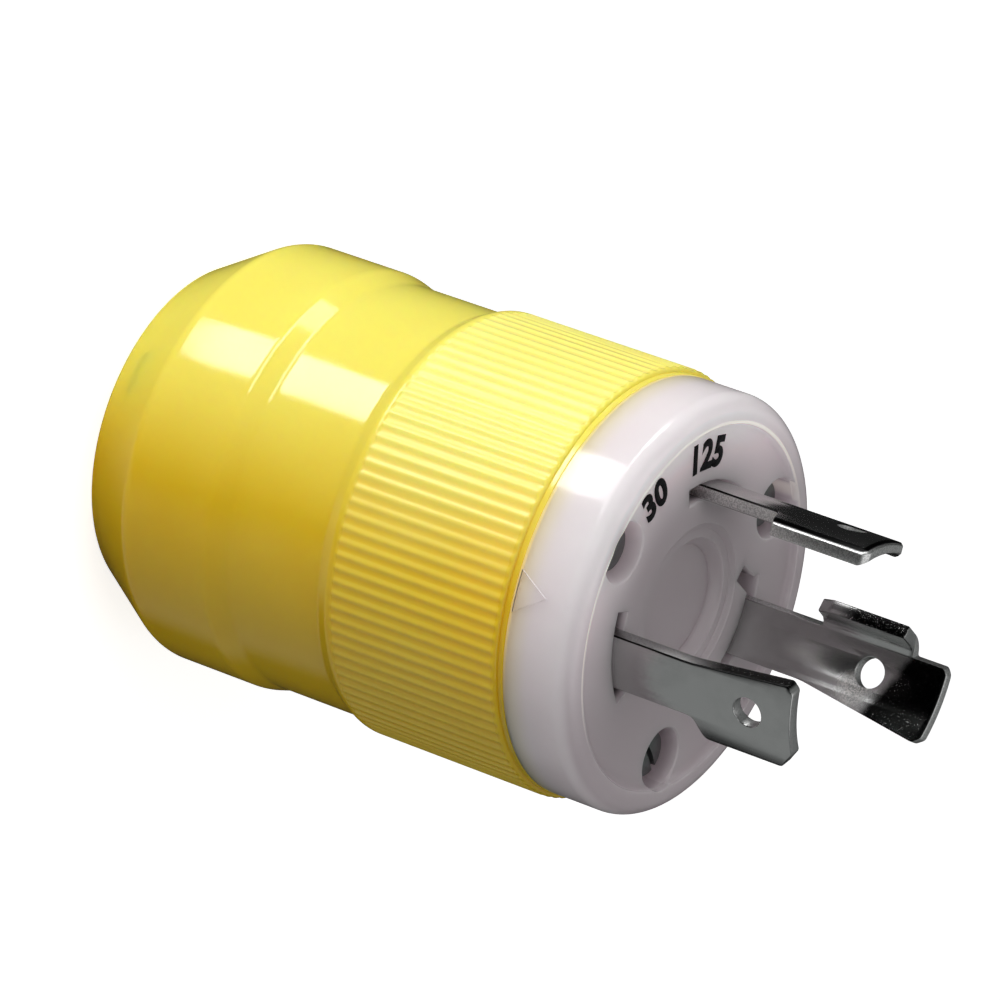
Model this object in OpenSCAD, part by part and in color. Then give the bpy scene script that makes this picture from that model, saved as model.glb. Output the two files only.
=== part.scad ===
// Three-blade locking power plug for a round cord.
// The plug stands on its rear face: z is the plug's axis and the blades point up.

/* [Shell outside] */
// Diameter of the shell at its rear end
rear_d = 42.2; // [38:0.1:46]
// Radius of the rear end's rounded edge
rear_round = 1.6; // [1:0.1:3.5]
// Length of the hollowed taper from the rear rounding to the rear belt
taper_len = 7.7; // [5:0.1:12]
// Diameter of the rear belt
belt_d = 51.9; // [50:0.1:54]
// Length of the rear belt
belt_len = 11.7; // [8:0.1:16]
// Diameter of the waist between the belt and the grip
waist_d = 50.2; // [48:0.1:51.5]
// Length of the waist
waist_len = 10; // [6:0.1:14]
// Length of the soft step from the belt down to the waist
belt_step = 2.9; // [1.5:0.1:4]
// Length of the soft step from the waist up to the grip
grip_step = 1.7; // [1:0.1:3]
// Diameter over the ribs of the grip
grip_d = 52.2; // [51:0.1:56]
// Length of the grip, with its plain rear rim
grip_len = 26.8; // [20:0.1:32]
// Length of the plain lip in front of the ribs
lip_len = 0.7; // [0.5:0.1:3]
// Depth of the plain lip below the roots of the ribs
lip_in = 0.1; // [0.05:0.05:0.5]

/* [Grip ribs] */
// Number of ribs round the grip
rib_count = 102; // [60:2:120]
// Depth of the grooves between the ribs
rib_depth = 0.5; // [0.3:0.05:0.7]
// Width of a groove at the crest of the ribs
groove_w = 1.0; // [0.6:0.05:1.1]
// Length of the plain rim behind the ribs
rim_len = 0.9; // [0.5:0.1:4]

/* [Shell inside] */
// Thickness of the shell's wall under the grooves of the grip
shell_wall = 2.5; // [1.8:0.1:3]
// Depth of that bore below the shell's front edge
bore_len = 21.1; // [18:0.1:24]
// Width of the ledge that the terminal body stands on
ledge_w = 1.1; // [0.8:0.1:1.6]
// Narrowing of the wire space at the rear wall, on each side
chamber_taper = 3.6; // [3:0.1:5]
// Height of that narrowing above the rear wall
chamber_rise = 5.4; // [3:0.1:8]
// Thickness of the rear wall
rear_wall = 4; // [3:0.1:6]
// Diameter of the lip that holds the cord seal
seal_hole_d = 24; // [22:0.1:25]
// Depth of the outside recess round that lip
seal_recess = 1.6; // [1:0.1:2.2]
// Diameter of the screw bosses inside the shell
boss_d = 6.6; // [6:0.1:7]
// Gap between a boss and the wall of the wire space, bridged by a web
boss_gap = 0.1; // [0:0.1:0.6]
// Width of the webs that join the bosses to the wall
boss_web = 5; // [3:0.1:6]
// Height of the bosses' tops below the shell's front edge
boss_drop = 13.1; // [11:0.1:15]

/* [Front body] */
// Diameter of the front body's side wall
front_d = 50.8; // [49:0.1:51.5]
// Height from the shell's front edge to the top of the rim
flange_h = 8.8; // [7:0.1:11]
// Radius of the rounded front edge
front_round = 2.2; // [1:0.1:3]
// Width of the flat top of the rim
rim_w = 0.9; // [0.5:0.1:2]
// Depth of the face below the rim
face_drop = 0.8; // [0.5:0.1:1.5]
// Radius of the rim's rounded inner edge
rim_round = 0.3; // [0.1:0.05:0.4]
// Slope of the moulded walls in the face, over their height
face_draft = 0.3; // [0.1:0.05:0.5]
// Depth of the front body's inner face below its flange
plate_drop = 1.1; // [0.5:0.1:3]
// Depth of the spigot below the flange
spigot_len = 7.1; // [5:0.1:9]
// Wall of the spigot
spigot_wall = 1.9; // [1.2:0.1:2.5]
// Diameter of the wide centre recess
dish_d = 20.2; // [17:0.1:20.6]
// Depth of the wide centre recess
dish_drop = 0.5; // [0.2:0.1:1]
// Width of the sloping edge of the wide recess
dish_slope = 0.7; // [0.3:0.1:1.2]
// Diameter of the deep centre recess
well_d = 15.8; // [12:0.1:16.2]
// Depth of the deep centre recess below the wide one
well_drop = 1.4; // [0.8:0.1:3]

/* [Blades] */
// Diameter over the outside of the three curved blades
blade_circle_d = 30; // [29:0.1:30.6]
// Thickness of the blades
blade_t = 1.6; // [1.4:0.05:1.8]
// Length of the two current blades from the face
blade_len = 23.8; // [21:0.1:27]
// Length of the ground blade from the face
ground_len = 27.5; // [25:0.1:31]
// Height of the locking notch above the face
notch_h = 10.6; // [9:0.1:12]
// Width of the blades' necks
neck_w = 7; // [6:0.1:7.6]
// Reach of the neutral blade's locking step beside the neck
neutral_step = 3.2; // [2:0.1:3.6]
// Reach of the hot blade's locking step beside the neck
hot_step = 2.5; // [1.6:0.1:3]
// Spread of the blades' straight edge from the notch to the tip
edge_flare = 1.3; // [0.5:0.1:1.8]
// Spread of the ground blade's straight edge
ground_flare = 2.4; // [1:0.1:2.6]
// Length of the neutral blade's locking step along the axis
neutral_step_len = 1.6; // [0.6:0.1:2.5]
// Length of the hot blade's locking step along the axis
hot_step_len = 0.8; // [0.6:0.1:2.5]
// Width of the wide corner cuts of the two current blades' tips
wide_cut = 2.8; // [1:0.1:3]
// Length of those cuts along the axis
wide_cut_len = 2; // [1:0.1:3]
// Width and length of the blades' other corner cuts
small_cut = 0.8; // [0.3:0.1:1.5]
// Depth of the bevels of the blades' tips
tip_bevel = 0.45; // [0.2:0.05:0.6]
// Length of those bevels along the axis
tip_bevel_len = 1; // [0.3:0.05:1.5]
// Depth of the coined bevels along the locking steps, at their edges
step_bevel = 0.18; // [0.05:0.01:0.3]
// Slope of those bevels from the blade's outside, in degrees
step_slope = 17; // [10:1:40]
// Diameter of the hole through each blade
blade_hole_d = 3.7; // [3:0.1:4.2]
// Height of that hole above the face
blade_hole_h = 18.1; // [16:0.1:19]
// Angle of the ground blade round the axis
ground_angle = 90; // [88:0.5:92]
// Angle of the hot blade
hot_angle = 191; // [189:0.5:193]
// Angle of the neutral blade
neutral_angle = 307; // [305:0.5:309]
// Distance from the axis to the edge of the ground blade's foot
foot_reach = 9.6; // [9:0.1:10.5]
// Length of the ground blade's foot along the axis
foot_len = 12.1; // [9:0.1:13]
// Turn of the foot from the curve of the blade, in degrees
foot_turn = 62; // [50:1:75]
// Inner radius of the foot's bend
foot_bend_r = 1.8; // [0.5:0.1:2.5]
// Cut of the foot's leading corner
foot_cut = 0.9; // [0.3:0.1:2]
// Angle from the foot's bend to the edge of the blade's neck, in degrees
foot_inset = 0.5; // [0.2:0.1:2]

/* [Terminals] */
// Width of the blades' shoulder bars
shoulder_w = 15; // [14:0.1:16]
// Height of the shoulder bars
shoulder_h = 3; // [2:0.1:4]
// Width of the terminal tongues
tongue_w = 10; // [9:0.1:11]
// Length of the shanks below the front body's inner face
shank_len = 18; // [15:0.1:20]
// Distance from the front body's inner face to the terminal screws
screw_drop = 10; // [8:0.1:12]
// Thickness of the clamp plates
plate_t = 1.4; // [1:0.1:1.6]
// Size of the square clamp plates
plate_w = 8.6; // [7.5:0.1:9]
// Width of the grooves that hold the wires under the clamp plates
wire_groove = 1; // [0.6:0.1:1.4]
// Diameter of the terminal screws
term_screw_d = 4.2; // [3.5:0.1:4.5]
// Diameter of their heads
term_head_d = 7.4; // [6.5:0.1:8]
// Height of their heads
term_head_h = 2.1; // [1.6:0.1:2.4]
// Length of their shanks
term_screw_len = 6.4; // [5:0.1:7.5]

/* [Terminal body] */
// Gap between the terminal body and the spigot round it
carrier_gap = 0.7; // [0.3:0.1:1.5]
// Height of its foot flange
carrier_foot = 2; // [1.5:0.1:3]

/* [Assembly screws] */
// Angle of the first assembly screw
screw_angle = 20; // [18:0.5:22]
// Diameter of the assembly screws
asm_screw_d = 4; // [3.4:0.1:4.2]
// Diameter of their heads
asm_head_d = 5.8; // [5.4:0.1:6.2]
// Height of their heads
asm_head_h = 2; // [1.5:0.1:2.4]
// Diameter of the counterbores in the face
counterbore_d = 7.4; // [6.8:0.1:7.6]
// Depth of the heads' tops below the face
head_sink = 1.5; // [0.8:0.1:2.5]
// Diameter of the threaded inserts
insert_d = 5; // [4.6:0.1:5.2]
// Length of the inserts
insert_len = 8; // [6:0.1:9]
// Reach of the assembly screws past the inserts
asm_past = 2; // [0.5:0.1:4]
// Chamfer of the screws' heads and ends
screw_chamfer = 0.3; // [0.1:0.05:0.5]
// Width of a screw's driver slot as a share of its head
slot_share = 0.18; // [0.12:0.01:0.25]

/* [Cord clamp] */
// Wall of the clamp halves between the cord's passage and their round outside
clamp_wall = 8; // [7.2:0.1:8.8]
// Depth of the grooves between the ridges that grip the cord
grip_groove = 0.8; // [0.4:0.1:1.2]
// Gap between the clamp halves and the shell's bosses
clamp_room = 0.5; // [0.3:0.1:1]
// Height of the segment that is cut off the back of each half's round outside
clamp_back = 3.8; // [3:0.1:4.5]
// Gap between the closed clamp halves
clamp_gap = 0.8; // [0.4:0.1:2]
// Height of the clamp halves
clamp_h = 12; // [9:0.1:14]
// Height of the clamp's underside above the rear face
clamp_z = 8; // [7:0.1:10]
// Angle of the line through the two clamp screws
clamp_angle = 50; // [48:0.5:52]
// Wall between the cord's passage and the clamp screws
clamp_web = 1.7; // [1.2:0.1:1.9]
// Diameter of the clamp screws
clamp_screw_d = 3.4; // [3:0.1:3.6]
// Diameter of their heads
clamp_head_d = 5.8; // [5.4:0.1:6]
// Height of their heads
clamp_head_h = 2; // [1.5:0.1:2.4]
// Depth of the screw seats from the split
clamp_seat = 5; // [4:0.1:5.5]
// Width of the square nuts
nut_w = 5.4; // [5:0.1:5.6]
// Thickness of the square nuts
nut_t = 2; // [1.6:0.1:2.4]
// Distance from the cord's passage to the yoke's leg
leg_gap = 0.6; // [0.3:0.1:1.5]
// Width of the yoke's leg
leg_w = 9; // [7:0.1:11]
// Thickness of the yoke's foot plate
foot_t = 2.6; // [2:0.1:3.5]
// Width of the foot plate round the yoke screws' heads
foot_land = 0.5; // [0.3:0.1:1.5]
// Diameter of the yoke screws
yoke_screw_d = 2.6; // [2.2:0.1:3]
// Diameter of their heads
yoke_head_d = 4.9; // [4.4:0.1:5.4]
// Height of their heads
yoke_head_h = 1.6; // [1:0.1:2]
// Length of the yoke screws
yoke_screw_len = 8; // [6:0.1:9]

/* [Cord seal] */
// Chamfer of the seal's outer edges
seal_chamfer = 0.4; // [0.2:0.1:0.8]
// Diameter of the seal's bore
seal_bore_d = 14.8; // [13:0.1:16]
// Overhang of the seal's two flanges past the shell's lip
seal_hold = 1.8; // [1:0.1:2.2]
// Thickness of the inner flange
seal_inner_t = 1.6; // [1:0.1:2.4]
// Distance of the seal's outer face inside the shell's rear face
seal_inset = 0.3; // [0.1:0.1:0.6]

/* [Fits] */
// Clearance round parts that slide together
fit = 0.15; // [0.1:0.01:0.25]
// Clearance round screws in plain holes
screw_fit = 0.25; // [0.15:0.01:0.4]
// Spare depth of a hole past the end of its screw
screw_room = 0.6; // [0.3:0.1:1.5]
// Clearance round the blades in the face's slots
slot_fit = 0.25; // [0.15:0.01:0.35]
// Spare angle at both ends of the slots
slot_play = 0.7; // [0.3:0.1:1.5]
// Turn of the slots from the middle of the ground blade
ground_slot_turn = 2.1; // [1:0.1:4]
// Turn of the slots from the middle of the hot blade
hot_slot_turn = 1.7; // [1:0.1:4]
// Turn of the slots from the middle of the neutral blade
neutral_slot_turn = -1.2; // [-3:0.1:0]

/* [Hidden] */
$fn = 96;
// overlap of joined shapes, and the play of a thread in its hole
e = 0.02;

// heights along the axis
belt_z = rear_round + taper_len;
waist_z = belt_z + belt_len + belt_step;
grip_z = waist_z + waist_len + grip_step;
ribs_z = grip_z + rim_len;
ribs_end_z = grip_z + grip_len;
edge_z = ribs_end_z + lip_len;
rim_z = edge_z + flange_h;
face_z = rim_z - face_drop;
plate_z = edge_z - plate_drop;
ledge_z = edge_z - bore_len;
boss_top_z = edge_z - boss_drop;
spigot_z = edge_z - spigot_len;
tongue_z = plate_z - shank_len;
term_z = plate_z - screw_drop;
clamp_top_z = clamp_z + clamp_h;
clamp_mid_z = clamp_z + clamp_h / 2;
// radii of the shell's inside and of what stands in it
crest_r = grip_d / 2;
root_r = crest_r - rib_depth;
bore_r = root_r - shell_wall;
chamber_r = bore_r - ledge_w;
boss_r = boss_d / 2;
screw_circle_r = chamber_r - boss_gap - boss_r;
spigot_r = bore_r - fit;
spigot_in_r = spigot_r - spigot_wall;
carrier_r = spigot_in_r - carrier_gap;
carrier_foot_r = bore_r - fit;
clamp_r = screw_circle_r - boss_r - clamp_room;
clamp_bore_r = clamp_r - clamp_wall;
clamp_depth = clamp_r - clamp_back;
clamp_screw_x = clamp_bore_r + clamp_web + clamp_screw_d / 2;
// blades
ro = blade_circle_d / 2;
ri = ro - blade_t;
wide_corner = [wide_cut, wide_cut_len];
small_corner = [small_cut, small_cut];
slot_ro = ro + slot_fit;
slot_ri = ri - slot_fit;
// nearest that a curved neck comes to the plane through the middle of the three blades
neck_in = ri * cos(asin(neck_w / 2 / ri));
// seats along the radius of each terminal
plate_r = ro;
head_r = plate_r + plate_t;
asm_seat_z = face_z - head_sink - asm_head_h;
insert_z = boss_top_z - insert_len;
asm_end_z = insert_z - asm_past;
yoke_screw_y = clamp_bore_r - leg_gap;
yoke_screw_x = leg_w / 2 + yoke_head_d / 2 + screw_fit;
leg_y = clamp_bore_r + leg_gap;
foot_rim = yoke_head_d / 2 + foot_land;
// the assembly screws' slots stand as the screws were left when they were driven home
driver_turns = [61, 100, 176];
// the ground blade's foot: it bends from the blade's curve, just inside the blade's edge
foot_from = half_angle(0) - foot_inset;
foot_dir = foot_from + 90 + foot_turn;
foot_mid_r = foot_bend_r + blade_t / 2;
foot_centre = (ro - blade_t / 2 - foot_mid_r) * [cos(foot_from), sin(foot_from)];
foot_end = foot_centre + foot_mid_r * [cos(foot_dir - 90), sin(foot_dir - 90)];
foot_leg_len = (foot_end[0] - foot_reach) / -cos(foot_dir);
// angle that each slot spans: that of the widest blade, with its spare ends
slot_span = 2 * slot_play + max(half_angle(edge_flare) + half_angle(neutral_step),
    half_angle(edge_flare) + half_angle(hot_step), half_angle(ground_flare) + half_angle(0));

// angle from a blade's middle to an edge that stands out past the neck by s
function half_angle(s) = asin((neck_w / 2 + s) / ro);
// points of an arc round (x, y) from angle a to angle b
function arc(x, y, r, a, b, n = 4) =
    [for (i = [0:n]) let (t = a + (b - a) * i / n) [x + r * cos(t), y + r * sin(t)]];
// points of a soft step from (r0, z0) to (r1, z1)
function soft(r0, z0, r1, z1, n = 6) =
    [for (i = [0:n]) let (t = i / n) [r0 + (r1 - r0) * (3 * t * t - 2 * t * t * t), z0 + (z1 - z0) * t]];

// slotted screw with its seat at z = 0, its head above and its shank below
module slotted_screw(d, len, head_d, head_h) {
    c = screw_chamfer;
    slot_w = head_d * slot_share;
    difference() {
        rotate_extrude($fn = 48) polygon([[0, -len], [d / 2 - c, -len], [d / 2, c - len], [d / 2, 0],
            [head_d / 2, 0], [head_d / 2, head_h - c], [head_d / 2 - c, head_h], [0, head_h]]);
        translate([-head_d, -slot_w / 2, head_h / 2]) cube([2 * head_d, slot_w, head_h]);
    }
}

module at_screw(i) {
    rotate(screw_angle + 120 * i) translate([screw_circle_r, 0, 0]) children();
}

module at_screws() {
    for (i = [0:2]) at_screw(i) children();
}

// Outer half section: rounded rear edge, taper, belt, waist, grip and plain lip.
module shell_outline() {
    rc = rear_d / 2 - rear_round;
    taper = [belt_d / 2 - rc, taper_len];
    // angle at which the rear edge's rounding runs into the taper
    meet = atan2(taper[1], taper[0]) - acos(rear_round / norm(taper));
    polygon(concat([[0, 0]],
        arc(rc, rear_round, rear_round, -90, meet),
        [[belt_d / 2, belt_z]],
        soft(belt_d / 2, belt_z + belt_len, waist_d / 2, waist_z),
        soft(waist_d / 2, waist_z + waist_len, crest_r, grip_z),
        arc(root_r - lip_in, ribs_end_z - rib_depth - lip_in, rib_depth + lip_in, 0, 90, 3),
        [[root_r - lip_in, edge_z], [0, edge_z]]));
}

module shell_cavity() {
    polygon([[0, rear_wall], [chamber_r - chamber_taper, rear_wall], [chamber_r, rear_wall + chamber_rise],
        [chamber_r, ledge_z], [bore_r, ledge_z], [bore_r, edge_z + 1], [0, edge_z + 1]]);
}

module shell() {
    color("gold") difference() {
        union() {
            difference() {
                rotate_extrude() shell_outline();
                rotate_extrude() shell_cavity();
            }
            intersection() {
                at_screws() translate([0, 0, rear_wall - e]) {
                    cylinder(r = boss_r, h = boss_top_z - rear_wall + e, $fn = 48);
                    translate([0, -boss_web / 2, 0])
                        cube([root_r - screw_circle_r, boss_web, boss_top_z - rear_wall + e]);
                }
                rotate_extrude() shell_outline();
            }
        }
        // hole and recess of the cord seal
        translate([0, 0, -1]) cylinder(d = seal_hole_d, h = rear_wall + 2);
        translate([0, 0, -1]) cylinder(r = seal_hole_d / 2 + seal_hold + fit, h = seal_recess + 1);
        // holes of the inserts and of the screws' ends
        at_screws() {
            translate([0, 0, insert_z]) cylinder(d = insert_d, h = insert_len + 1, $fn = 48);
            translate([0, 0, asm_end_z - screw_room])
                cylinder(d = asm_screw_d + 2 * screw_fit, h = asm_past + screw_room + 1, $fn = 32);
        }
        // grooves between the ribs
        groove_r = (rib_depth * rib_depth + groove_w * groove_w / 4) / (2 * rib_depth);
        for (i = [0:rib_count - 1]) rotate(360 / rib_count * i)
            translate([root_r + groove_r, 0, ribs_z])
                cylinder(r = groove_r, h = ribs_end_z - ribs_z + e, $fn = 16);
    }
}

// a blade's curved slot through the face, turned by t from the blade's middle
module slot(t) {
    rotate(t - slot_span / 2) rotate_extrude(angle = slot_span) translate([slot_ri, plate_z - 1])
        square([slot_ro - slot_ri, face_z - plate_z + 2]);
}

module front_outline() {
    r = front_d / 2;
    rim_in = r - front_round - rim_w;
    dish_z = face_z - dish_drop;
    polygon(concat([[0, plate_z], [spigot_in_r, plate_z], [spigot_in_r, spigot_z],
        [spigot_r, spigot_z], [spigot_r, edge_z], [r, edge_z]],
        arc(r - front_round, rim_z - front_round, front_round, 0, 90, 5),
        arc(rim_in, rim_z - rim_round, rim_round, 90, 180, 2),
        [[rim_in - rim_round - face_draft, face_z], [dish_d / 2, face_z], [dish_d / 2 - dish_slope, dish_z],
         [well_d / 2, dish_z], [well_d / 2 - face_draft, dish_z - well_drop], [0, dish_z - well_drop]]));
}

module front_body() {
    color("whitesmoke") difference() {
        rotate_extrude() front_outline();
        rotate(ground_angle) {
            slot(ground_slot_turn);
            translate([0, 0, plate_z - 1]) linear_extrude(face_z - plate_z + 2) foot_leg(slot_fit, blade_t);
        }
        rotate(hot_angle) slot(hot_slot_turn);
        rotate(neutral_angle) slot(neutral_slot_turn);
        at_screws() {
            translate([0, 0, asm_seat_z]) cylinder(d = counterbore_d, h = face_z, $fn = 48);
            translate([0, 0, plate_z - 1]) cylinder(d = asm_screw_d + 2 * screw_fit, h = face_z, $fn = 32);
        }
    }
}

// Outline of a blade seen from outside, across the blade and along the axis:
// a straight edge that spreads by flare, and an edge that steps out by step above the notch.
// Each edge ends in a corner cut, given as its width and its length along the axis.
module blade_face(len, flare, step, step_len, straight_cut, step_cut) {
    w = neck_w / 2;
    top = face_z + len;
    notch_z = face_z + notch_h;
    polygon(concat([[-w, plate_z - shoulder_h], [-w, notch_z], [-w - flare, top - straight_cut[1]],
        [-w - flare + straight_cut[0], top], [w + step - step_cut[0], top], [w + step, top - step_cut[1]]],
        step > 0 ? soft(w + step, notch_z + step_len / 2, w, notch_z - step_len / 2) : [],
        [[w, plate_z - shoulder_h]]));
}

// half section of a curved blade with its bevelled tip
module blade_ring(len) {
    top = face_z + len;
    root_z = plate_z - shoulder_h / 2;
    polygon([[ri, root_z], [ro, root_z], [ro, top - tip_bevel_len],
        [ro - tip_bevel, top], [ri + tip_bevel, top], [ri, top - tip_bevel_len]]);
}

module terminal_shank() {
    translate([ri, -shoulder_w / 2, plate_z - shoulder_h]) cube([blade_t, shoulder_w, shoulder_h]);
    translate([ri, -tongue_w / 2, tongue_z]) cube([blade_t, tongue_w, shank_len]);
}

// what the coined bevel takes off the outside of a locking step
module step_coining(len, step) {
    across = neck_w / 2 + step;
    turn = asin(across / ro);
    translate([ro * cos(turn), across, face_z + notch_h]) rotate(turn + step_slope)
        translate([-step_bevel, -across, 0]) cube([1, 2 * across, len]);
}

module curved_blade(len, flare, step, step_len, straight_cut, step_cut) {
    difference() {
        union() {
            intersection() {
                rotate_extrude() blade_ring(len);
                rotate([90, 0, 90]) linear_extrude(ro + 1)
                    blade_face(len, flare, step, step_len, straight_cut, step_cut);
            }
            terminal_shank();
        }
        if (step > 0) step_coining(len, step);
        translate([0, 0, face_z + blade_hole_h]) rotate([0, 90, 0])
            cylinder(d = blade_hole_d, h = ro + 2, $fn = 32);
        translate([0, 0, term_z]) rotate([0, 90, 0]) cylinder(d = term_screw_d, h = ro + 2, $fn = 32);
    }
}

// section of the foot's straight leg, with room g round it, starting back before its bend
module foot_leg(g, back) {
    translate(foot_end) rotate(foot_dir) translate([-back, -blade_t / 2 - g])
        square([foot_leg_len + g + back, blade_t + 2 * g]);
}

// section of the ground blade's foot: its bend in towards the axis, then its leg
module foot_section() {
    translate(foot_centre) intersection() {
        difference() {
            circle(r = foot_bend_r + blade_t, $fn = 48);
            circle(r = foot_bend_r, $fn = 32);
        }
        polygon(concat([[0, 0]], arc(0, 0, ro, foot_from, foot_from + foot_turn, 2)));
    }
    foot_leg(0, e);
}

module ground_blade() {
    color("dimgray") rotate(ground_angle) {
        curved_blade(ground_len, ground_flare, 0, 0, small_corner, small_corner);
        intersection() {
            translate([0, 0, face_z + notch_h]) linear_extrude(foot_len) foot_section();
            rotate([90, 0, 0]) translate([0, 0, -ro]) linear_extrude(2 * ro) foot_face();
        }
    }
}

// outline of the foot seen from its side: its leading corner is cut
module foot_face() {
    z = face_z + notch_h;
    polygon([[foot_reach - 1, z + 2 * foot_cut], [foot_reach + foot_cut, z], [ro, z],
        [ro, z + foot_len], [foot_reach - 1, z + foot_len]]);
}

module hot_blade() {
    color("dimgray") rotate(hot_angle)
        curved_blade(blade_len, edge_flare, hot_step, hot_step_len, wide_corner, small_corner);
}

module neutral_blade() {
    color("dimgray") rotate(neutral_angle)
        curved_blade(blade_len, edge_flare, neutral_step, neutral_step_len, small_corner, wide_corner);
}

module clamp_plate() {
    difference() {
        translate([plate_r, -plate_w / 2, term_z - plate_w / 2]) cube([plate_t, plate_w, plate_w]);
        translate([0, 0, term_z]) rotate([0, 90, 0])
            cylinder(d = term_screw_d + 2 * screw_fit, h = head_r + 1, $fn = 32);
        // grooves that hold the wires, midway between the screw and the plate's sides
        for (s = [-1, 1]) translate([plate_r, s * (plate_w + term_screw_d) / 4, term_z]) rotate(45)
            cube([wire_groove, wire_groove, 2 * plate_w], center = true);
    }
}

module terminal_screw() {
    translate([head_r, 0, term_z]) rotate([0, 90, 0])
        slotted_screw(term_screw_d - e, term_screw_len, term_head_d, term_head_h);
}

module ground_clamp_plate() { color("silver") rotate(ground_angle) clamp_plate(); }
module hot_clamp_plate() { color("silver") rotate(hot_angle) clamp_plate(); }
module neutral_clamp_plate() { color("silver") rotate(neutral_angle) clamp_plate(); }
module ground_terminal_screw() { color("seagreen") rotate(ground_angle) terminal_screw(); }
module hot_terminal_screw() { color("goldenrod") rotate(hot_angle) terminal_screw(); }
module neutral_terminal_screw() { color("silver") rotate(neutral_angle) terminal_screw(); }

module terminal_body() {
    color("lightgray") difference() {
        translate([0, 0, ledge_z]) {
            cylinder(r = carrier_r, h = plate_z - ledge_z);
            cylinder(r = carrier_foot_r, h = carrier_foot);
        }
        for (a = [ground_angle, hot_angle, neutral_angle]) rotate(a) {
            tongue_room = tongue_w + 2 * fit;
            // pocket of the shoulder bar and of the neck's curve
            translate([neck_in - fit, -shoulder_w / 2 - fit, plate_z - shoulder_h])
                cube([bore_r, shoulder_w + 2 * fit, shoulder_h + 1]);
            // pocket of the terminal, with the way in for its wires
            translate([0, -tongue_room / 2, 0]) {
                translate([ri, 0, tongue_z]) cube([bore_r, tongue_room, shank_len]);
                translate([ro + fit, 0, ledge_z - 1]) cube([bore_r, tongue_room, tongue_z - ledge_z + 2]);
            }
            // hole of the terminal screw's end
            translate([head_r - term_screw_len - screw_room, 0, term_z]) rotate([0, 90, 0])
                cylinder(d = term_screw_d + 2 * screw_fit, h = ro, $fn = 32);
        }
        // room for the shell's bosses, then for the screws
        at_screws() {
            translate([0, 0, ledge_z - 1]) cylinder(r = boss_r + fit, h = plate_z - ledge_z + 2, $fn = 48);
            translate([0, -boss_r - fit, ledge_z - 1])
                cube([bore_r, boss_d + 2 * fit, plate_z - ledge_z + 2]);
        }
        // pilot holes of the yoke's screws
        rotate(clamp_angle) for (s = [-1, 1]) translate([s * yoke_screw_x, yoke_screw_y, ledge_z - 1])
            cylinder(d = yoke_screw_d, h = 1 + yoke_screw_len - foot_t + screw_room, $fn = 24);
    }
}

module shell_inserts() {
    color("goldenrod") at_screws() translate([0, 0, insert_z]) difference() {
        cylinder(d = insert_d, h = insert_len, $fn = 48);
        translate([0, 0, -1]) cylinder(d = asm_screw_d, h = insert_len + 2, $fn = 32);
    }
}

module assembly_screws() {
    color("dimgray") for (i = [0:2]) at_screw(i) translate([0, 0, asm_seat_z])
        rotate(driver_turns[i] - screw_angle - 120 * i)
            slotted_screw(asm_screw_d - e, asm_seat_z - asm_end_z, asm_head_d, asm_head_h);
}

module cord_seal() {
    neck_r = seal_hole_d / 2 - fit;
    rim_r = seal_hole_d / 2 + seal_hold;
    bore_r = seal_bore_d / 2;
    top_z = rear_wall + seal_inner_t;
    c = seal_chamfer;
    color("black") rotate_extrude() polygon([[bore_r, seal_inset + c], [bore_r + c, seal_inset],
        [rim_r - c, seal_inset], [rim_r, seal_inset + c], [rim_r, seal_recess], [neck_r, seal_recess],
        [neck_r, rear_wall], [rim_r, rear_wall], [rim_r, top_z - c], [rim_r - c, top_z], [bore_r, top_z]]);
}

// the cord's passage, with grooves above and below the clamp screws that leave ridges between them
module cord_passage() {
    r = clamp_bore_r;
    g = grip_groove;
    translate([0, 0, clamp_z - 1]) cylinder(r = r, h = clamp_h + 2);
    for (s = [-1, 1]) translate([0, 0, clamp_mid_z + s * clamp_h / 3]) rotate_extrude()
        polygon([[0, -2 * g], [r - g, -2 * g], [r + g, 0], [r - g, 2 * g], [0, 2 * g]]);
}

// one half of the cord clamp, on the +y side of the split
module clamp_half() {
    difference() {
        intersection() {
            translate([0, 0, clamp_z]) cylinder(r = clamp_r, h = clamp_h);
            translate([-clamp_r, clamp_gap / 2, clamp_z])
                cube([clamp_r * 2, clamp_depth - clamp_gap / 2, clamp_h]);
        }
        cord_passage();
        for (s = [-1, 1]) translate([s * clamp_screw_x, 0, clamp_mid_z])
            rotate([-90, 0, 0]) cylinder(d = clamp_screw_d + 2 * screw_fit, h = clamp_depth + 1, $fn = 32);
    }
}

module cord_clamp_yoke() {
    color("gainsboro") rotate(clamp_angle) difference() {
        union() {
            clamp_half();
            translate([-leg_w / 2, leg_y, clamp_top_z - 1])
                cube([leg_w, clamp_depth - leg_y, ledge_z - clamp_top_z + 1]);
            translate([-yoke_screw_x - foot_rim, yoke_screw_y - foot_rim, ledge_z - foot_t])
                cube([2 * (yoke_screw_x + foot_rim), clamp_depth - yoke_screw_y + foot_rim, foot_t]);
        }
        // pockets that hold the nuts, open at the back
        nut_room = nut_w + 2 * fit;
        for (s = [-1, 1]) translate([s * clamp_screw_x, clamp_seat + clamp_depth / 2, clamp_mid_z])
            cube([nut_room, clamp_depth, nut_room], center = true);
        for (s = [-1, 1]) translate([s * yoke_screw_x, yoke_screw_y, ledge_z - foot_t - 1])
            cylinder(d = yoke_screw_d + 2 * screw_fit, h = foot_t + 2, $fn = 24);
    }
}

module cord_clamp_jaw() {
    color("gainsboro") rotate(clamp_angle) difference() {
        mirror([0, 1, 0]) clamp_half();
        // flat seats of the screw heads, open at the back
        for (s = [-1, 1]) translate([s * clamp_screw_x, -clamp_seat, clamp_mid_z])
            rotate([90, 0, 0]) cylinder(d = clamp_head_d + 2 * fit, h = clamp_depth, $fn = 48);
    }
}

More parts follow.
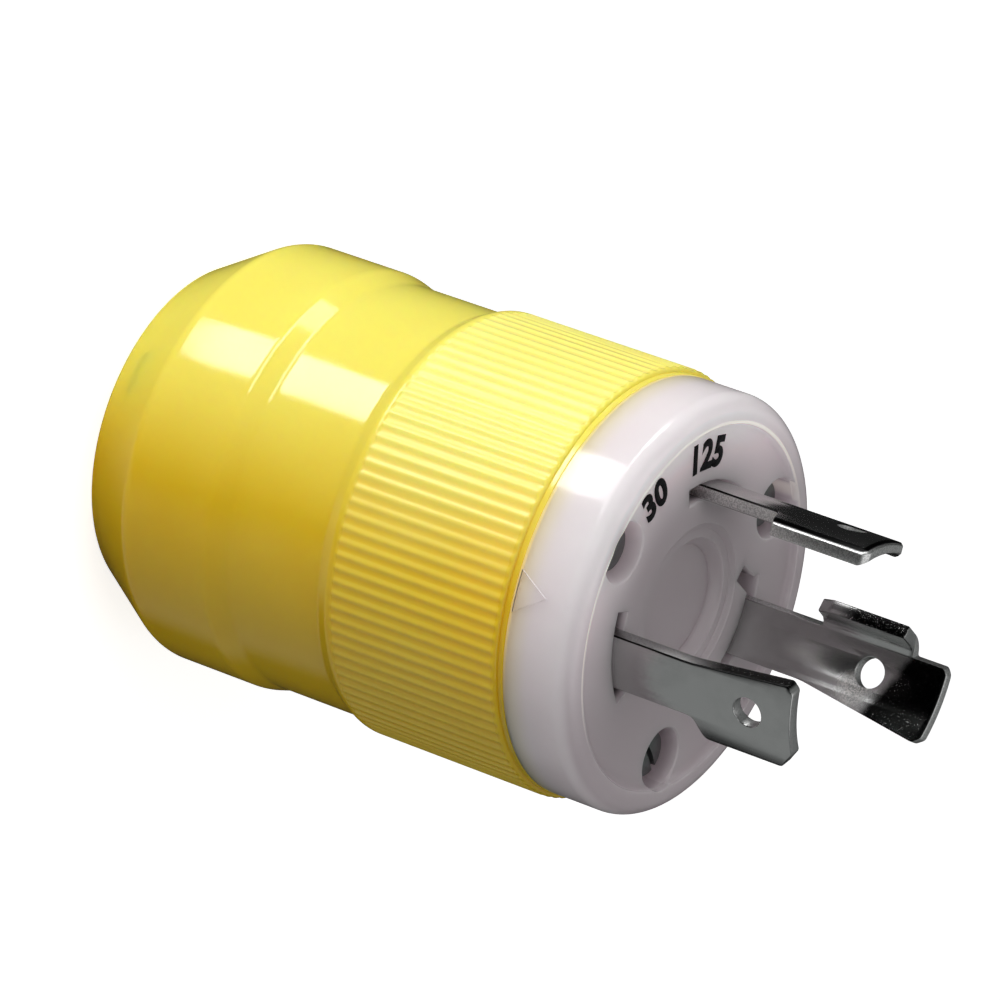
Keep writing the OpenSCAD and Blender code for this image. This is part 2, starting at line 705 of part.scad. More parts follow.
module clamp_screws() {
    color("silver") rotate(clamp_angle) for (s = [-1, 1])
        translate([s * clamp_screw_x, -clamp_seat, clamp_mid_z]) rotate([90, 0, 0])
            slotted_screw(clamp_screw_d - e, 2 * clamp_seat + nut_t + screw_room,
                clamp_head_d, clamp_head_h);
}

module clamp_nuts() {
    color("silver") rotate(clamp_angle) for (s = [-1, 1])
        translate([s * clamp_screw_x, clamp_seat, clamp_mid_z]) difference() {
            translate([-nut_w / 2, 0, -nut_w / 2]) cube([nut_w, nut_t, nut_w]);
            rotate([-90, 0, 0]) translate([0, 0, -1]) cylinder(d = clamp_screw_d, h = nut_t + 2, $fn = 32);
        }
}

module yoke_screws() {
    color("silver") rotate(clamp_angle) for (s = [-1, 1])
        translate([s * yoke_screw_x, yoke_screw_y, ledge_z - foot_t]) rotate([180, 0, 0])
            slotted_screw(yoke_screw_d - e, yoke_screw_len, yoke_head_d, yoke_head_h);
}

front_body();
terminal_body();
ground_blade();
hot_blade();
neutral_blade();
ground_clamp_plate();
hot_clamp_plate();
neutral_clamp_plate();
ground_terminal_screw();
hot_terminal_screw();
neutral_terminal_screw();
shell();
shell_inserts();
assembly_screws();
cord_seal();
cord_clamp_yoke();
cord_clamp_jaw();
clamp_screws();
clamp_nuts();
yoke_screws();
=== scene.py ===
"""Dresses a three-blade locking power plug: its shell, nylon front, blades, screws, seal and clamp."""
import math

import bmesh
import bpy
from mathutils import Matrix, Vector


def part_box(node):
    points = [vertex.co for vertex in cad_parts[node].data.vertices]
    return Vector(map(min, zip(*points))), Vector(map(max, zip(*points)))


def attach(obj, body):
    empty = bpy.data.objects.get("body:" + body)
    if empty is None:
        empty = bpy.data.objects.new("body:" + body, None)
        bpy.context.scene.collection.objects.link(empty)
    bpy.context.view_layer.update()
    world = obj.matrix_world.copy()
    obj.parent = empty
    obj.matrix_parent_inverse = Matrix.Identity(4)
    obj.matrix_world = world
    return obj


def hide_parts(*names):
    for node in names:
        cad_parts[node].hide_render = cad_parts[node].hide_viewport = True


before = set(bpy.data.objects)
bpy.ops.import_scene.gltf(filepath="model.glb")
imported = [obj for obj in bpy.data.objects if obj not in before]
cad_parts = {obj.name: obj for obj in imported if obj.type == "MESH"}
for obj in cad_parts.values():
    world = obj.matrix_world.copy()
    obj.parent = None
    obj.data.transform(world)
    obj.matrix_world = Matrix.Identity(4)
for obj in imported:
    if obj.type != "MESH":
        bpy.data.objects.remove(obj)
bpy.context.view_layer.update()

bl_info = {
    "name": "Locking Plug Dresser",
    "version": (1, 0, 0),
    "blender": (4, 5, 0),
    "location": "3D View > Sidebar > Plug",
    "description": "Models and finishes the visible pieces of a three-blade locking power plug",
    "category": "Object",
}

# the one body that every piece rides on
BODY = "root"
MM = 0.001
# edges sharper than this stay sharp in the shading
FACE_EDGE_ANGLE = math.radians(32)
# heights from the frame: the shell's front edge and the top of the front body's rim
SHELL_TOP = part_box("shell")[1].z
FRONT_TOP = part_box("front_body")[1].z


def length(name, text, millimetres):
    """A length that the sidebar shows, with its default given in millimetres."""
    return bpy.props.FloatProperty(name=name, description=text, default=millimetres * MM,
                                   unit="LENGTH", precision=5)


def turn(name, text, degrees):
    """An angle that the sidebar shows, with its default given in degrees."""
    return bpy.props.FloatProperty(name=name, description=text, default=math.radians(degrees),
                                   subtype="ANGLE")


def colour(name, text, value):
    """A linear colour that the sidebar shows."""
    return bpy.props.FloatVectorProperty(name=name, description=text, default=value, subtype="COLOR", size=3,
                                         min=0.0, max=1.0)


class ShellSizes(bpy.types.PropertyGroup):
    """Sizes of the yellow shell."""
    rear_r: length("Rear radius", "Radius of the shell at its rear end", 21.1)
    rear_round: length("Rear rounding", "Radius of the rounded rear edge", 1.6)
    belt_z: length("Belt start", "Height where the rear belt starts", 9.3)
    belt_r: length("Belt radius", "Radius of the rear belt", 25.95)
    belt_end: length("Belt end", "Height where the rear belt ends", 21.0)
    waist_z: length("Waist start", "Height where the waist starts", 23.9)
    waist_r: length("Waist radius", "Radius of the waist", 25.1)
    waist_end: length("Waist end", "Height where the waist ends", 36.9)
    grip_z: length("Grip start", "Height where the grip starts", 38.7)
    crest_r: length("Rib crest radius", "Radius over the ribs of the grip", 26.1)
    ribs_z: length("Groove start", "Height where the grooves start", 39.2)
    ribs_end: length("Groove end", "Height where the grooves run out", 62.4)
    rib_depth: length("Groove depth", "Depth of the grooves between the ribs", 0.18)
    lip_r: length("Lip radius", "Radius of the plain lip in front of the ribs", 25.5)
    bore_r: length("Bore radius", "Radius of the bore behind the lip", 23.1)
    ledge_z: length("Ledge height", "Height of the ledge inside", 42.0)
    chamber_r: length("Wire space radius", "Radius of the wire space", 22.0)
    rear_wall: length("Rear wall", "Thickness of the rear wall", 4.0)
    seal_r: length("Seal lip radius", "Radius of the lip that holds the seal", 12.0)
    recess_r: length("Seal recess radius", "Radius of the recess outside that lip", 13.95)
    recess: length("Seal recess depth", "Depth of that recess", 1.6)
    boss_r: length("Boss radius", "Radius of the three bosses that hold the inserts", 3.3)
    boss_top: length("Boss top", "Height where the bosses end", 50.0)
    boss_web: length("Boss web", "Width of the webs between bosses and wall", 5.0)
    ribs: bpy.props.IntProperty(name="Ribs", description="Number of ribs round the grip",
                                default=102, min=12)


class FrontSizes(bpy.types.PropertyGroup):
    """Sizes of the nylon front body and of what shows in its face."""
    wall_r: length("Wall radius", "Radius of the front body's side wall", 25.4)
    round_r: length("Edge rounding", "Radius of the rounded front edge", 2.2)
    rim_w: length("Rim width", "Width of the rim's flat top", 0.9)
    face_z: length("Face height", "Height of the face", 71.1)
    inner_z: length("Inner face height", "Height of the inner face", 62.0)
    spigot_z: length("Spigot height", "Height where the spigot ends", 56.0)
    spigot_r: length("Spigot radius", "Outside radius of the spigot", 22.95)
    spigot_in: length("Spigot bore", "Inside radius of the spigot", 21.05)
    dish_r: length("Dish radius", "Radius of the wide centre recess", 10.1)
    dish: length("Dish depth", "Depth of the wide centre recess", 0.5)
    well_r: length("Well radius", "Radius of the deep centre recess", 7.9)
    well: length("Well depth", "Depth of the deep recess below the wide one", 1.4)
    screw_circle: length("Screw circle", "Radius of the circle of the screws", 18.6)
    screw_turn: turn("Screw angle", "Angle of the first screw", 20)
    screw_hole: length("Screw hole", "Radius of the screws' counterbores", 3.7)
    screw_head: length("Screw head", "Radius of the screws' heads", 2.9)
    head_top: length("Head height", "Height of the heads' tops", 69.6)
    head_seat: length("Seat height", "Height of the heads' seats", 67.6)
    slot_span: turn("Slot span", "Angle that each slot spans", 46.6)


class BladeSizes(bpy.types.PropertyGroup):
    """Sizes of the three curved blades."""
    outer_r: length("Outer radius", "Radius over the outside of the blades", 15.0)
    thick: length("Thickness", "Thickness of the blades", 1.6)
    neck: length("Neck half width", "Half the width of the necks", 3.5)
    notch: length("Notch height", "Height of the locking notch above the face", 10.6)
    neck_top: length("Neck top", "Height where the necks end at the notch", 81.7)
    short: length("Current blades", "Length of the two current blades from the face", 23.8)
    long: length("Ground blade", "Length of the ground blade from the face", 27.5)
    hole_r: length("Hole radius", "Radius of the hole through each blade", 1.85)
    hole_z: length("Hole height", "Height of the hole above the face", 18.1)
    shoulder: length("Shoulder half width", "Half the width of the shoulder bars", 7.5)
    shoulder_h: length("Shoulder height", "Height of the shoulder bars", 3.0)
    tongue: length("Tongue half width", "Half the width of the terminal tongues", 5.0)
    tongue_z: length("Tongue end", "Height where the tongues end", 44.0)
    screw_z: length("Terminal screw", "Height of the terminal screws", 52.0)
    edge: length("Edge rounding", "Rounding of the blades' sheared edges", 0.14)


class PlugColours(bpy.types.PropertyGroup):
    """Colours of the finishes."""
    # the shell's two colours and the grip's two colours are each a painted lit colour and a painted shaded
    # colour of one plastic
    yellow: colour("Shell yellow", "Colour of the shell towards the light", (0.88, 0.79, 0.145))
    amber: colour("Shell amber", "Deeper colour of the shell's far side and grooves", (0.79, 0.50, 0.001))
    grip_yellow: colour("Grip yellow", "Paler yellow of the grip towards the light", (0.99, 0.93, 0.30))
    grip_amber: colour("Grip amber", "Paler yellow of the grip's far side", (0.93, 0.66, 0.04))
    nylon: colour("Front nylon", "Colour of the front body", (0.84, 0.775, 0.80))
    # the colours below, down to the seam's, paint light and shade on the nylon: a painted shaded face, a
    # painted lit face, a painted rim highlight, painted yellow light from the shell, painted shade in the
    # slots, and painted glows
    painted_face_shade: colour("Face nylon", "Colour of the front body's face", (0.60, 0.535, 0.56))
    nylon_lit: colour("Lit nylon", "Colour of the face on its light side", (1.0, 0.91, 0.935))
    painted_rim_glint: colour("Rim line", "Colour of the bright line inside the rim", (1.0, 0.95, 0.88))
    painted_shell_bounce: colour("Warm nylon", "Colour of the side wall next to the shell", (0.78, 0.71, 0.32))
    slot_shade: colour("Slot shade", "Colour of the nylon deep in the slots", (0.06, 0.05, 0.05))
    painted_face_glow: colour("Face glow", "Light that comes through the face", (0.12, 0.105, 0.112))
    painted_rim_glow: colour("Line glow", "Light along the line inside the rim", (0.38, 0.34, 0.29))
    painted_seam_glow: colour("Seam glow", "Yellow light where the nylon meets the shell", (0.34, 0.28, 0.08))
    plating: colour("Plating", "Colour of the plated blades", (0.50, 0.505, 0.50))
    smoked: colour("Smoked plating", "Colour of the smoked patches", (0.36, 0.365, 0.36))
    sheared: colour("Sheared edge", "Colour of the specks on the sheared edges", (0.2, 0.2, 0.2))
    # the bright edge, the bright patch and the black below paint light on the blades: two painted highlights
    # and the painted dark reflections
    painted_edge_glint: colour("Bright edge", "Colour of the hot blade's cut edges", (0.9, 0.9, 0.89))
    worn: colour("Worn plating", "Colour of the worn patch by the ground blade's hole", (0.9, 0.88, 0.86))
    black: colour("Black edge", "Colour of the blades' black edges and tip", (0.008, 0.008, 0.008))
    dark_steel: colour("Dark steel", "Colour of the assembly screws", (0.17, 0.185, 0.18))
    zinc: colour("Zinc", "Colour of the plated steel inside", (0.62, 0.64, 0.66))
    brass: colour("Brass", "Colour of the brass pieces", (0.74, 0.52, 0.2))
    green: colour("Green plating", "Colour of the ground screw", (0.05, 0.26, 0.11))
    rubber: colour("Rubber", "Colour of the cord seal", (0.022, 0.022, 0.024))
    grey: colour("Clamp grey", "Colour of the cord clamp", (0.30, 0.30, 0.31))
    ink: colour("Ink", "Colour of the printed figures", (0.008, 0.008, 0.009))


class Sock:
    """A shader socket that takes part in Python arithmetic."""

    def __init__(self, shader, socket):
        self.shader = shader
        self.socket = socket

    def math(self, operation, first, second=0.0):
        """A Math node on one or two values."""
        return self.shader.add("ShaderNodeMath", {"operation": operation}, {0: first, 1: second})

    def __add__(self, other):
        return self.math("ADD", self, other)

    __radd__ = __add__

    def __mul__(self, other):
        return self.math("MULTIPLY", self, other)

    __rmul__ = __mul__

    def __sub__(self, other):
        return self.math("SUBTRACT", self, other)

    def __rsub__(self, other):
        return self.math("SUBTRACT", other, self)

    def __truediv__(self, other):
        return self.math("DIVIDE", self, other)

    def __pow__(self, other):
        return self.math("POWER", self, other)

    def least(self, other):
        """The lesser of this value and another."""
        return self.math("MINIMUM", self, other)

    def most(self, other):
        """The greater of this value and another."""
        return self.math("MAXIMUM", self, other)

    def between(self, low, high):
        """0 at low, 1 at high, with a soft start and end."""
        return self.shader.add("ShaderNodeMapRange", {"interpolation_type": "SMOOTHSTEP"},
                               {"Value": self, "From Min": low, "From Max": high})


class Shader:
    """Builds one material's node tree."""

    def __init__(self, name):
        self.material = bpy.data.materials.new(name)
        self.material.use_nodes = True
        self.tree = self.material.node_tree
        self.tree.nodes.clear()

    def add(self, kind, settings=None, inputs=None, output=0):
        """Adds a node: its settings first, then the values or links of its sockets."""
        node = self.tree.nodes.new(kind)
        for key, value in (settings or {}).items():
            setattr(node, key, value)
        for key, value in (inputs or {}).items():
            self.feed(node.inputs[key], value)
        return Sock(self, node.outputs[output]) if node.outputs else None

    def feed(self, socket, value):
        """Links a Sock to a socket, or sets its value."""
        if isinstance(value, Sock):
            self.tree.links.new(value.socket, socket)
        elif socket.type == "RGBA":
            socket.default_value = (*value, 1.0)
        else:
            socket.default_value = value

    def place(self):
        """The Object coordinates."""
        return self.add("ShaderNodeTexCoord", output="Object")

    def axes(self, place):
        """x, y, z of a point, each as a value."""
        node = self.tree.nodes.new("ShaderNodeSeparateXYZ")
        self.feed(node.inputs[0], place)
        return [Sock(self, output) for output in node.outputs]

    def noise(self, place, size, detail=2.0, roughness=0.5):
        """Noise with features of about that size, in metres."""
        return self.add("ShaderNodeTexNoise", None,
                        {"Vector": place, "Scale": 1.0 / size, "Detail": detail, "Roughness": roughness})

    def stretch(self, place, scale):
        """A place scaled along each axis."""
        return self.add("ShaderNodeMapping", None, {"Vector": place, "Scale": scale})

    def blend(self, factor, first, second):
        """A colour between two."""
        return self.add("ShaderNodeMix", {"data_type": "RGBA"}, {"Factor": factor, 6: first, 7: second},
                        output=2)

    def bump(self, height, strength, distance):
        """A bumped normal."""
        return self.add("ShaderNodeBump", None,
                        {"Strength": strength, "Distance": distance, "Height": height})

    def surface(self, **values):
        """Ends the tree in a Principled shader, with sockets named in lower case."""
        named = {key.replace("_", " ").title(): value for key, value in values.items()}
        if "Ior" in named:
            named["IOR"] = named.pop("Ior")
        shader = self.add("ShaderNodeBsdfPrincipled", None, named)
        self.add("ShaderNodeOutputMaterial", None, {"Surface": shader})
        return self.material


# sides of the plug, as angles round its axis, from which the painted light falls: there the painted colours
# are lightest, with painted shade on the far side
PAINTED_LIGHT_SIDE = math.radians(214)
FACE_PAINTED_LIGHT_SIDE = math.radians(226)


def side_of(x, y, radius, angle):
    """How far a place round the axis lies towards an angle: 1 on that side, -1 on the other."""
    way = round_place(angle, 1.0)
    return (x * way.x + y * way.y) / radius


def shell_plastic(c, sizes):
    """Glossy moulded yellow, paler and duller on the grip, with painted shade: a deeper amber on the side
    away from the light and in the grooves.
    """
    s = Shader("yellow_shell_plastic")
    place = s.place()
    x, y, z = s.axes(place)
    radius = (x * x + y * y) ** 0.5
    in_grip = z.between(sizes.ribs_z - 0.2 * MM, sizes.ribs_z + 0.6 * MM)
    in_grip = in_grip * (1 - z.between(sizes.ribs_end - MM, sizes.ribs_end))
    groove = (1 - radius.between(sizes.crest_r - sizes.rib_depth, sizes.crest_r - 0.12 * MM)) * in_grip
    cloud = s.noise(place, 18 * MM, 2.0)
    # painted shade: 1 on the side away from the light, 0 towards it
    painted_far_shade = 1 - side_of(x, y, radius, PAINTED_LIGHT_SIDE).between(0.2, 1.0)
    # deep mixes painted shade, on the far side and in the grooves, with a random cloudy tone
    deep = (painted_far_shade * 0.85 + cloud.between(0.35, 0.75) * 0.1 + groove * 0.15).least(1.0)
    # painted shade: the yellow turns amber away from the light and in the grooves, and the grip's paler pair
    # does the same
    hue = s.blend(deep, c.yellow, c.amber)
    hue = s.blend(in_grip * 0.55, hue, s.blend(deep, c.grip_yellow, c.grip_amber))
    ripple = s.noise(place, 1.8 * MM, 2.0)
    grain = s.noise(place, 0.12 * MM, 3.0)
    scuff = s.noise(s.stretch(place, (1.0, 1.0, 0.15)), 0.9 * MM, 4.0, 0.6)
    gloss = scuff.between(0.45, 0.8) * 0.08 + 0.1 + in_grip * 0.24
    normal = s.bump(ripple * 0.7 + grain * 0.3, 0.06, 0.08 * MM)
    return s.surface(base_color=hue, roughness=gloss, normal=normal, subsurface_weight=0.6,
                     subsurface_radius=(1.0, 0.75, 0.2), subsurface_scale=3 * MM, ior=1.48)


def front_nylon(c, sizes):
    """Milky nylon: polished side wall and finely etched face, with painted light and shade: a painted lit
    and glowing face on the light's side, painted shade on the rest of the face and deep in the slots, a
    painted highlight inside the rim, and painted yellow light next to the shell's edge.
    """
    s = Shader("front_nylon")
    place = s.place()
    x, y, z = s.axes(place)
    radius = (x * x + y * y) ** 0.5
    # how far a place lies towards the painted light's side of the face: 1 there, -1 on the other side
    side = side_of(x, y, radius, FACE_PAINTED_LIGHT_SIDE)
    # painted light: a lighter face towards the light's side, with a painted glow
    painted_light = side.between(-0.3, 0.9) * radius.between(11.5 * MM, 21.5 * MM)
    # painted shade: the face is painted darker than the side wall wherever the painted light doesn't reach
    face = (1 - painted_light) * (1 - radius.between(24.4 * MM, 25.3 * MM))
    painted_light = painted_light * (1 - radius.between(23.4 * MM, 24.8 * MM))
    # painted highlight: a bright, glowing line inside the rim on the light's side
    line = radius.between(22.1 * MM, 22.3 * MM) * (1 - radius.between(22.45 * MM, 22.6 * MM)) * painted_light
    # painted light: yellow light from the shell, painted on the side wall next to it all round
    low = 1 - z.between(SHELL_TOP - 0.5 * MM, SHELL_TOP + 3.5 * MM)
    # painted shade: the nylon is painted dark deep in the blades' slots
    painted_slot_shade = radius.between(12.9 * MM, 13.1 * MM) * (1 - radius.between(14.6 * MM, 14.85 * MM))
    painted_slot_shade = painted_slot_shade * (1 - z.between(sizes.face_z - 1.6 * MM, sizes.face_z - 0.3 * MM))
    # painted light: a yellow glow where the nylon meets the shell, on the light's side
    seam = (1 - z.between(SHELL_TOP + 0.1 * MM, SHELL_TOP + 0.5 * MM)) * side.between(-0.2, 0.8)
    cloud = s.noise(place, 9 * MM, 3.0)
    body = s.blend(cloud.between(0.3, 0.7) * 0.5, c.nylon, [part * 0.93 for part in c.nylon])
    for mask, tone in ((painted_light, c.nylon_lit), (face, c.painted_face_shade), (line, c.painted_rim_glint),
                       (low * 0.5, c.painted_shell_bounce), (painted_slot_shade * 0.85, c.slot_shade)):
        body = s.blend(mask, body, tone)
    # through gathers painted glows on the face's light side, along the rim line and at the seam; they stand
    # in for light coming through the nylon
    through = (0.0, 0.0, 0.0)
    for mask, light in ((painted_light, c.painted_face_glow), (line, c.painted_rim_glow), (seam, c.painted_seam_glow)):
        through = s.blend(mask, through, light)
    flat = 1 - radius.between(21.6 * MM, 22.8 * MM)
    etch = s.noise(place, 0.1 * MM, 3.0)
    flow = s.noise(place, 5 * MM, 1.0)
    normal = s.bump(etch * (flat * 0.8 + 0.1) + flow * 0.4, 0.09, 0.08 * MM)
    gloss = 0.11 + flat * 0.2 + cloud * 0.05
    return s.surface(base_color=body, roughness=gloss, normal=normal, subsurface_weight=1.0,
                     subsurface_radius=(1.0, 0.95, 1.0), subsurface_scale=7 * MM, ior=1.5,
                     emission_color=through, emission_strength=1.0)


def foot_edge(x, y, z, radius, b):
    """Where the free edge of the ground blade's foot is, past the rounding of its corner."""
    start, heading, run = foot_line(b)
    quarter = Matrix.Rotation(GROUND_TURN, 3, "Z")
    way = quarter @ heading
    end = (quarter @ (start + heading * run)).dot(way)
    inner = b.outer_r - b.thick
    edge = (x * way.x + y * way.y - end).between(-0.2 * MM, -0.12 * MM)
    edge = edge * (1 - radius.between(inner - 0.6 * MM, inner - 0.3 * MM))
    return edge * z.between(b.neck_top + 1.5 * MM, b.neck_top + 5.5 * MM)


def neutral_upper_edge(round_way, z, b):
    """Where the edge of the neutral blade that faces the hot blade is, up to its tip."""
    edge = round_way.between(math.radians(100), math.radians(101))
    edge = edge * (1 - round_way.between(math.radians(113.8), math.radians(114.3)))
    return edge * (1 - z.between(b.neck_top + 12.5 * MM, b.neck_top + 12.9 * MM))


def plated_metal(c, b):
    """Bright nickel plate with drawn lines along the blade, smoked patches and speckled sheared edges, with
    painted reflections: black edges and a black ground-blade tip for dark reflections, a painted glint on
    the hot blade's cut edges, and a painted bright patch by the ground blade's hole.
    """
    s = Shader("plated_blade_metal")
    place = s.place()
    x, y, z = s.axes(place)
    radius = (x * x + y * y) ** 0.5
    inner = b.outer_r - b.thick
    lines = s.noise(s.stretch(place, (1.0, 1.0, 0.04)), 0.14 * MM, 3.0)
    smoke = s.noise(place, 4 * MM, 3.0, 0.6)
    speck = s.noise(place, 0.18 * MM, 2.0)
    in_wall = radius.between(inner + 0.08 * MM, inner + 0.22 * MM)
    sheared = in_wall * (1 - radius.between(b.outer_r - 0.22 * MM, b.outer_r - 0.08 * MM))
    round_way = x.math("ARCTAN2", 0 - y, 0 - x)
    on_hot = 1 - round_way.between(math.radians(60), math.radians(61))
    upper_edge = neutral_upper_edge(round_way, z, b)
    # painted reflection: black bands along the neutral blade's upper edge and the hot blade's edges
    painted_dark_rim = radius.between(b.outer_r - 0.24 * MM, b.outer_r - 0.16 * MM)
    painted_dark_rim = painted_dark_rim * (1 - radius.between(b.outer_r - 0.012 * MM, b.outer_r - 0.004 * MM))
    painted_dark_rim = painted_dark_rim * (upper_edge + on_hot)
    # painted reflection: the neutral blade's sheared edge by its neck and the ground blade's foot edge go
    # black
    painted_black_edge = sheared * upper_edge * z.between(b.neck_top - 3 * MM, b.neck_top + 4 * MM)
    painted_foot_dark = foot_edge(x, y, z, radius, b)
    # painted reflection: the ground blade's inner face goes black towards its tip
    inside = (1 - in_wall) * y.between(0.0, MM)
    slant = z + x * 0.4 + smoke * 1.6 * MM - 0.8 * MM
    tip_shade = inside * slant.between(b.neck_top + 9.9 * MM, b.neck_top + 11.2 * MM)
    # dark gathers the painted dark reflections, broken by specks
    dark = painted_dark_rim.most(painted_black_edge * (1 - speck.between(0.62, 0.7) * 0.8))
    dark = dark.most(painted_foot_dark * (1 - speck.between(0.6, 0.68) * 0.9))
    dark = dark.most(tip_shade * (1 - speck.between(0.64, 0.72) * 0.4))
    # painted highlight: a bright speckled patch on the ground blade's inner face by its hole, standing in
    # for a reflection; the patch is also rougher
    glint_place = Vector((2.25 * MM, 13.2 * MM, b.neck_top + 6.4 * MM))
    off = s.add("ShaderNodeVectorMath", {"operation": "DISTANCE"}, {0: place, 1: glint_place}, output=1)
    patch = inside * (1 - (off + smoke * 2 * MM).between(1.6 * MM, 4.0 * MM)) * (1 - tip_shade)
    tone = s.blend(smoke.between(0.42, 0.75) * 0.35, c.plating, c.smoked)
    # painted highlights: bright specks on the hot blade's cut edges and a bright patch by the ground blade's
    # hole; the darker specks are the sheared edges' own tone
    for mask, part in ((sheared * speck.between(0.45, 0.7) * 0.4, c.sheared),
                       (sheared * on_hot * speck.between(0.4, 0.6) * 0.7, c.painted_edge_glint),
                       (patch * speck.between(0.35, 0.6), c.worn), (dark, c.black)):
        tone = s.blend(mask, tone, part)
    gloss = 0.15 + smoke * 0.08 + lines * 0.06 + sheared * 0.16 + patch * 0.25
    normal = s.bump(lines * (1 - sheared) * 0.5 + speck * sheared * 2.0, 0.12, 0.05 * MM)
    return s.surface(base_color=tone, metallic=1.0, roughness=gloss, normal=normal)


def turned_metal(name, tone, gloss):
    """A turned and plated fastener: fine rings of wear and cloudy plating."""
    s = Shader(name)
    place = s.place()
    wear = s.noise(place, 1.2 * MM, 4.0, 0.6)
    fine = s.noise(s.stretch(place, (1.0, 1.0, 3.0)), 0.15 * MM, 3.0)
    tint = s.blend(wear.between(0.4, 0.8) * 0.5, tone, [part * 0.55 for part in tone])
    normal = s.bump(fine * 0.6 + wear * 0.4, 0.15, 0.04 * MM)
    return s.surface(base_color=tint, metallic=1.0, roughness=gloss + fine * 0.15, normal=normal)


def moulded_plastic(name, tone, gloss):
    """Plain moulded nylon with a fine spark-eroded grain."""
    s = Shader(name)
    place = s.place()
    grain = s.noise(place, 0.2 * MM, 3.0)
    cloud = s.noise(place, 8 * MM, 2.0)
    tint = s.blend(cloud.between(0.3, 0.7) * 0.4, tone, [part * 0.85 for part in tone])
    return s.surface(base_color=tint, roughness=gloss + grain * 0.15, normal=s.bump(grain, 0.12, 0.05 * MM))


def seal_rubber(tone):
    """Matt rubber with a dusty bloom."""
    s = Shader("seal_rubber")
    place = s.place()
    bloom = s.noise(place, 3 * MM, 4.0, 0.65)
    grain = s.noise(place, 0.25 * MM, 2.0)
    tint = s.blend(bloom.between(0.5, 0.8) * 0.4, tone, (0.07, 0.068, 0.065))
    return s.surface(base_color=tint, roughness=0.62 + bloom * 0.2, normal=s.bump(grain, 0.25, 0.06 * MM))


def print_ink(tone):
    """Matt stamped ink, a little uneven."""
    s = Shader("print_ink")
    place = s.place()
    patch = s.noise(place, 0.3 * MM, 3.0)
    tint = s.blend(patch.between(0.55, 0.8) * 0.5, tone, (0.05, 0.048, 0.05))
    normal = s.bump(patch, 0.1, 0.02 * MM)
    return s.surface(base_color=tint, roughness=0.42 + patch * 0.2, normal=normal, ior=1.2)


def arc(centre_r, centre_z, radius, start, end, steps):
    """Points of an arc in a half section, angles in degrees."""
    turns = [math.radians(start + (end - start) * i / steps) for i in range(steps + 1)]
    return [(centre_r + radius * math.cos(t), centre_z + radius * math.sin(t)) for t in turns]


def soft_step(r0, z0, r1, z1, steps):
    """Points of a soft step between two radii."""
    parts = [i / steps for i in range(steps + 1)]
    return [(r0 + (r1 - r0) * (3 * t * t - 2 * t ** 3), z0 + (z1 - z0) * t) for t in parts]


def ramp(r0, z0, r1, z1, ease):
    """Points of a straight step between two radii, with its two corners rounded."""
    slope = Vector((r1 - r0, z1 - z0)).normalized() * ease
    return [*bend_between((r0, z0 - ease), (r0, z0), (r0 + slope.x, z0 + slope.y)),
            *bend_between((r1 - slope.x, z1 - slope.y), (r1, z1), (r1, z1 + ease))]


def bend_between(first, corner, last, steps=6):
    """Points that round the corner between two points."""
    parts = [i / steps for i in range(steps + 1)]
    return [tuple((1 - t) ** 2 * a + 2 * t * (1 - t) * b + t * t * c for a, b, c in zip(first, corner, last))
            for t in parts]


def revolve(section, steps):
    """A bmesh turned about the Z axis from a closed half section of (radius, height) points."""
    bm = bmesh.new()
    verts = [bm.verts.new((r, 0.0, z)) for r, z in section]
    edges = [bm.edges.new(pair) for pair in zip(verts, verts[1:] + verts[:1])]
    bmesh.ops.spin(bm, geom=verts + edges, cent=(0, 0, 0), axis=(0, 0, 1), angle=2 * math.pi, steps=steps,
                   use_merge=True)
    bmesh.ops.remove_doubles(bm, verts=bm.verts, dist=1e-7)
    bmesh.ops.recalc_face_normals(bm, faces=bm.faces)
    return bm


def sector(section, middle, span, steps):
    """A closed solid turned about the Z axis through part of a turn."""
    bm = bmesh.new()
    face = bm.faces.new([bm.verts.new((r, 0.0, z)) for r, z in section])
    turn_mesh(bm, middle - span / 2)
    geom = [face, *face.edges, *face.verts]
    bmesh.ops.spin(bm, geom=geom, cent=(0, 0, 0), axis=(0, 0, 1), angle=span, steps=steps)
    bmesh.ops.recalc_face_normals(bm, faces=bm.faces)
    return bm


def turn_mesh(bm, angle):
    """Turns a whole bmesh about the Z axis."""
    bmesh.ops.rotate(bm, verts=bm.verts, cent=(0, 0, 0), matrix=Matrix.Rotation(angle, 3, "Z"))


def add_block(bm, size, middle):
    """Adds a block of a size, with its middle at a place."""
    verts = bmesh.ops.create_cube(bm, size=1.0)["verts"]
    bmesh.ops.scale(bm, verts=verts, vec=size)
    bmesh.ops.translate(bm, verts=verts, vec=middle)


def thicken(bm, faces, way):
    """Makes a solid of flat faces, by extruding them along a way."""
    sheet = bmesh.ops.extrude_face_region(bm, geom=faces)
    moved = [item for item in sheet["geom"] if isinstance(item, bmesh.types.BMVert)]
    bmesh.ops.translate(bm, verts=moved, vec=way)


def shade(bm, limit=FACE_EDGE_ANGLE, narrow=0.0):
    """Smooth shading, with edges sharper than the limit kept; beside narrow faces it is FACE_EDGE_ANGLE."""
    for face in bm.faces:
        face.smooth = True
    for edge in bm.edges:
        thin = any(face.calc_area() < narrow * edge.calc_length() for face in edge.link_faces)
        sharp = FACE_EDGE_ANGLE if thin else limit
        edge.smooth = len(edge.link_faces) == 2 and edge.calc_face_angle(0.0) < sharp


def as_object(name, bm):
    """An object of a bmesh, with no body yet."""
    mesh = bpy.data.meshes.new(name)
    bm.to_mesh(mesh)
    bm.free()
    piece = bpy.data.objects.new(name, mesh)
    bpy.context.scene.collection.objects.link(piece)
    return piece


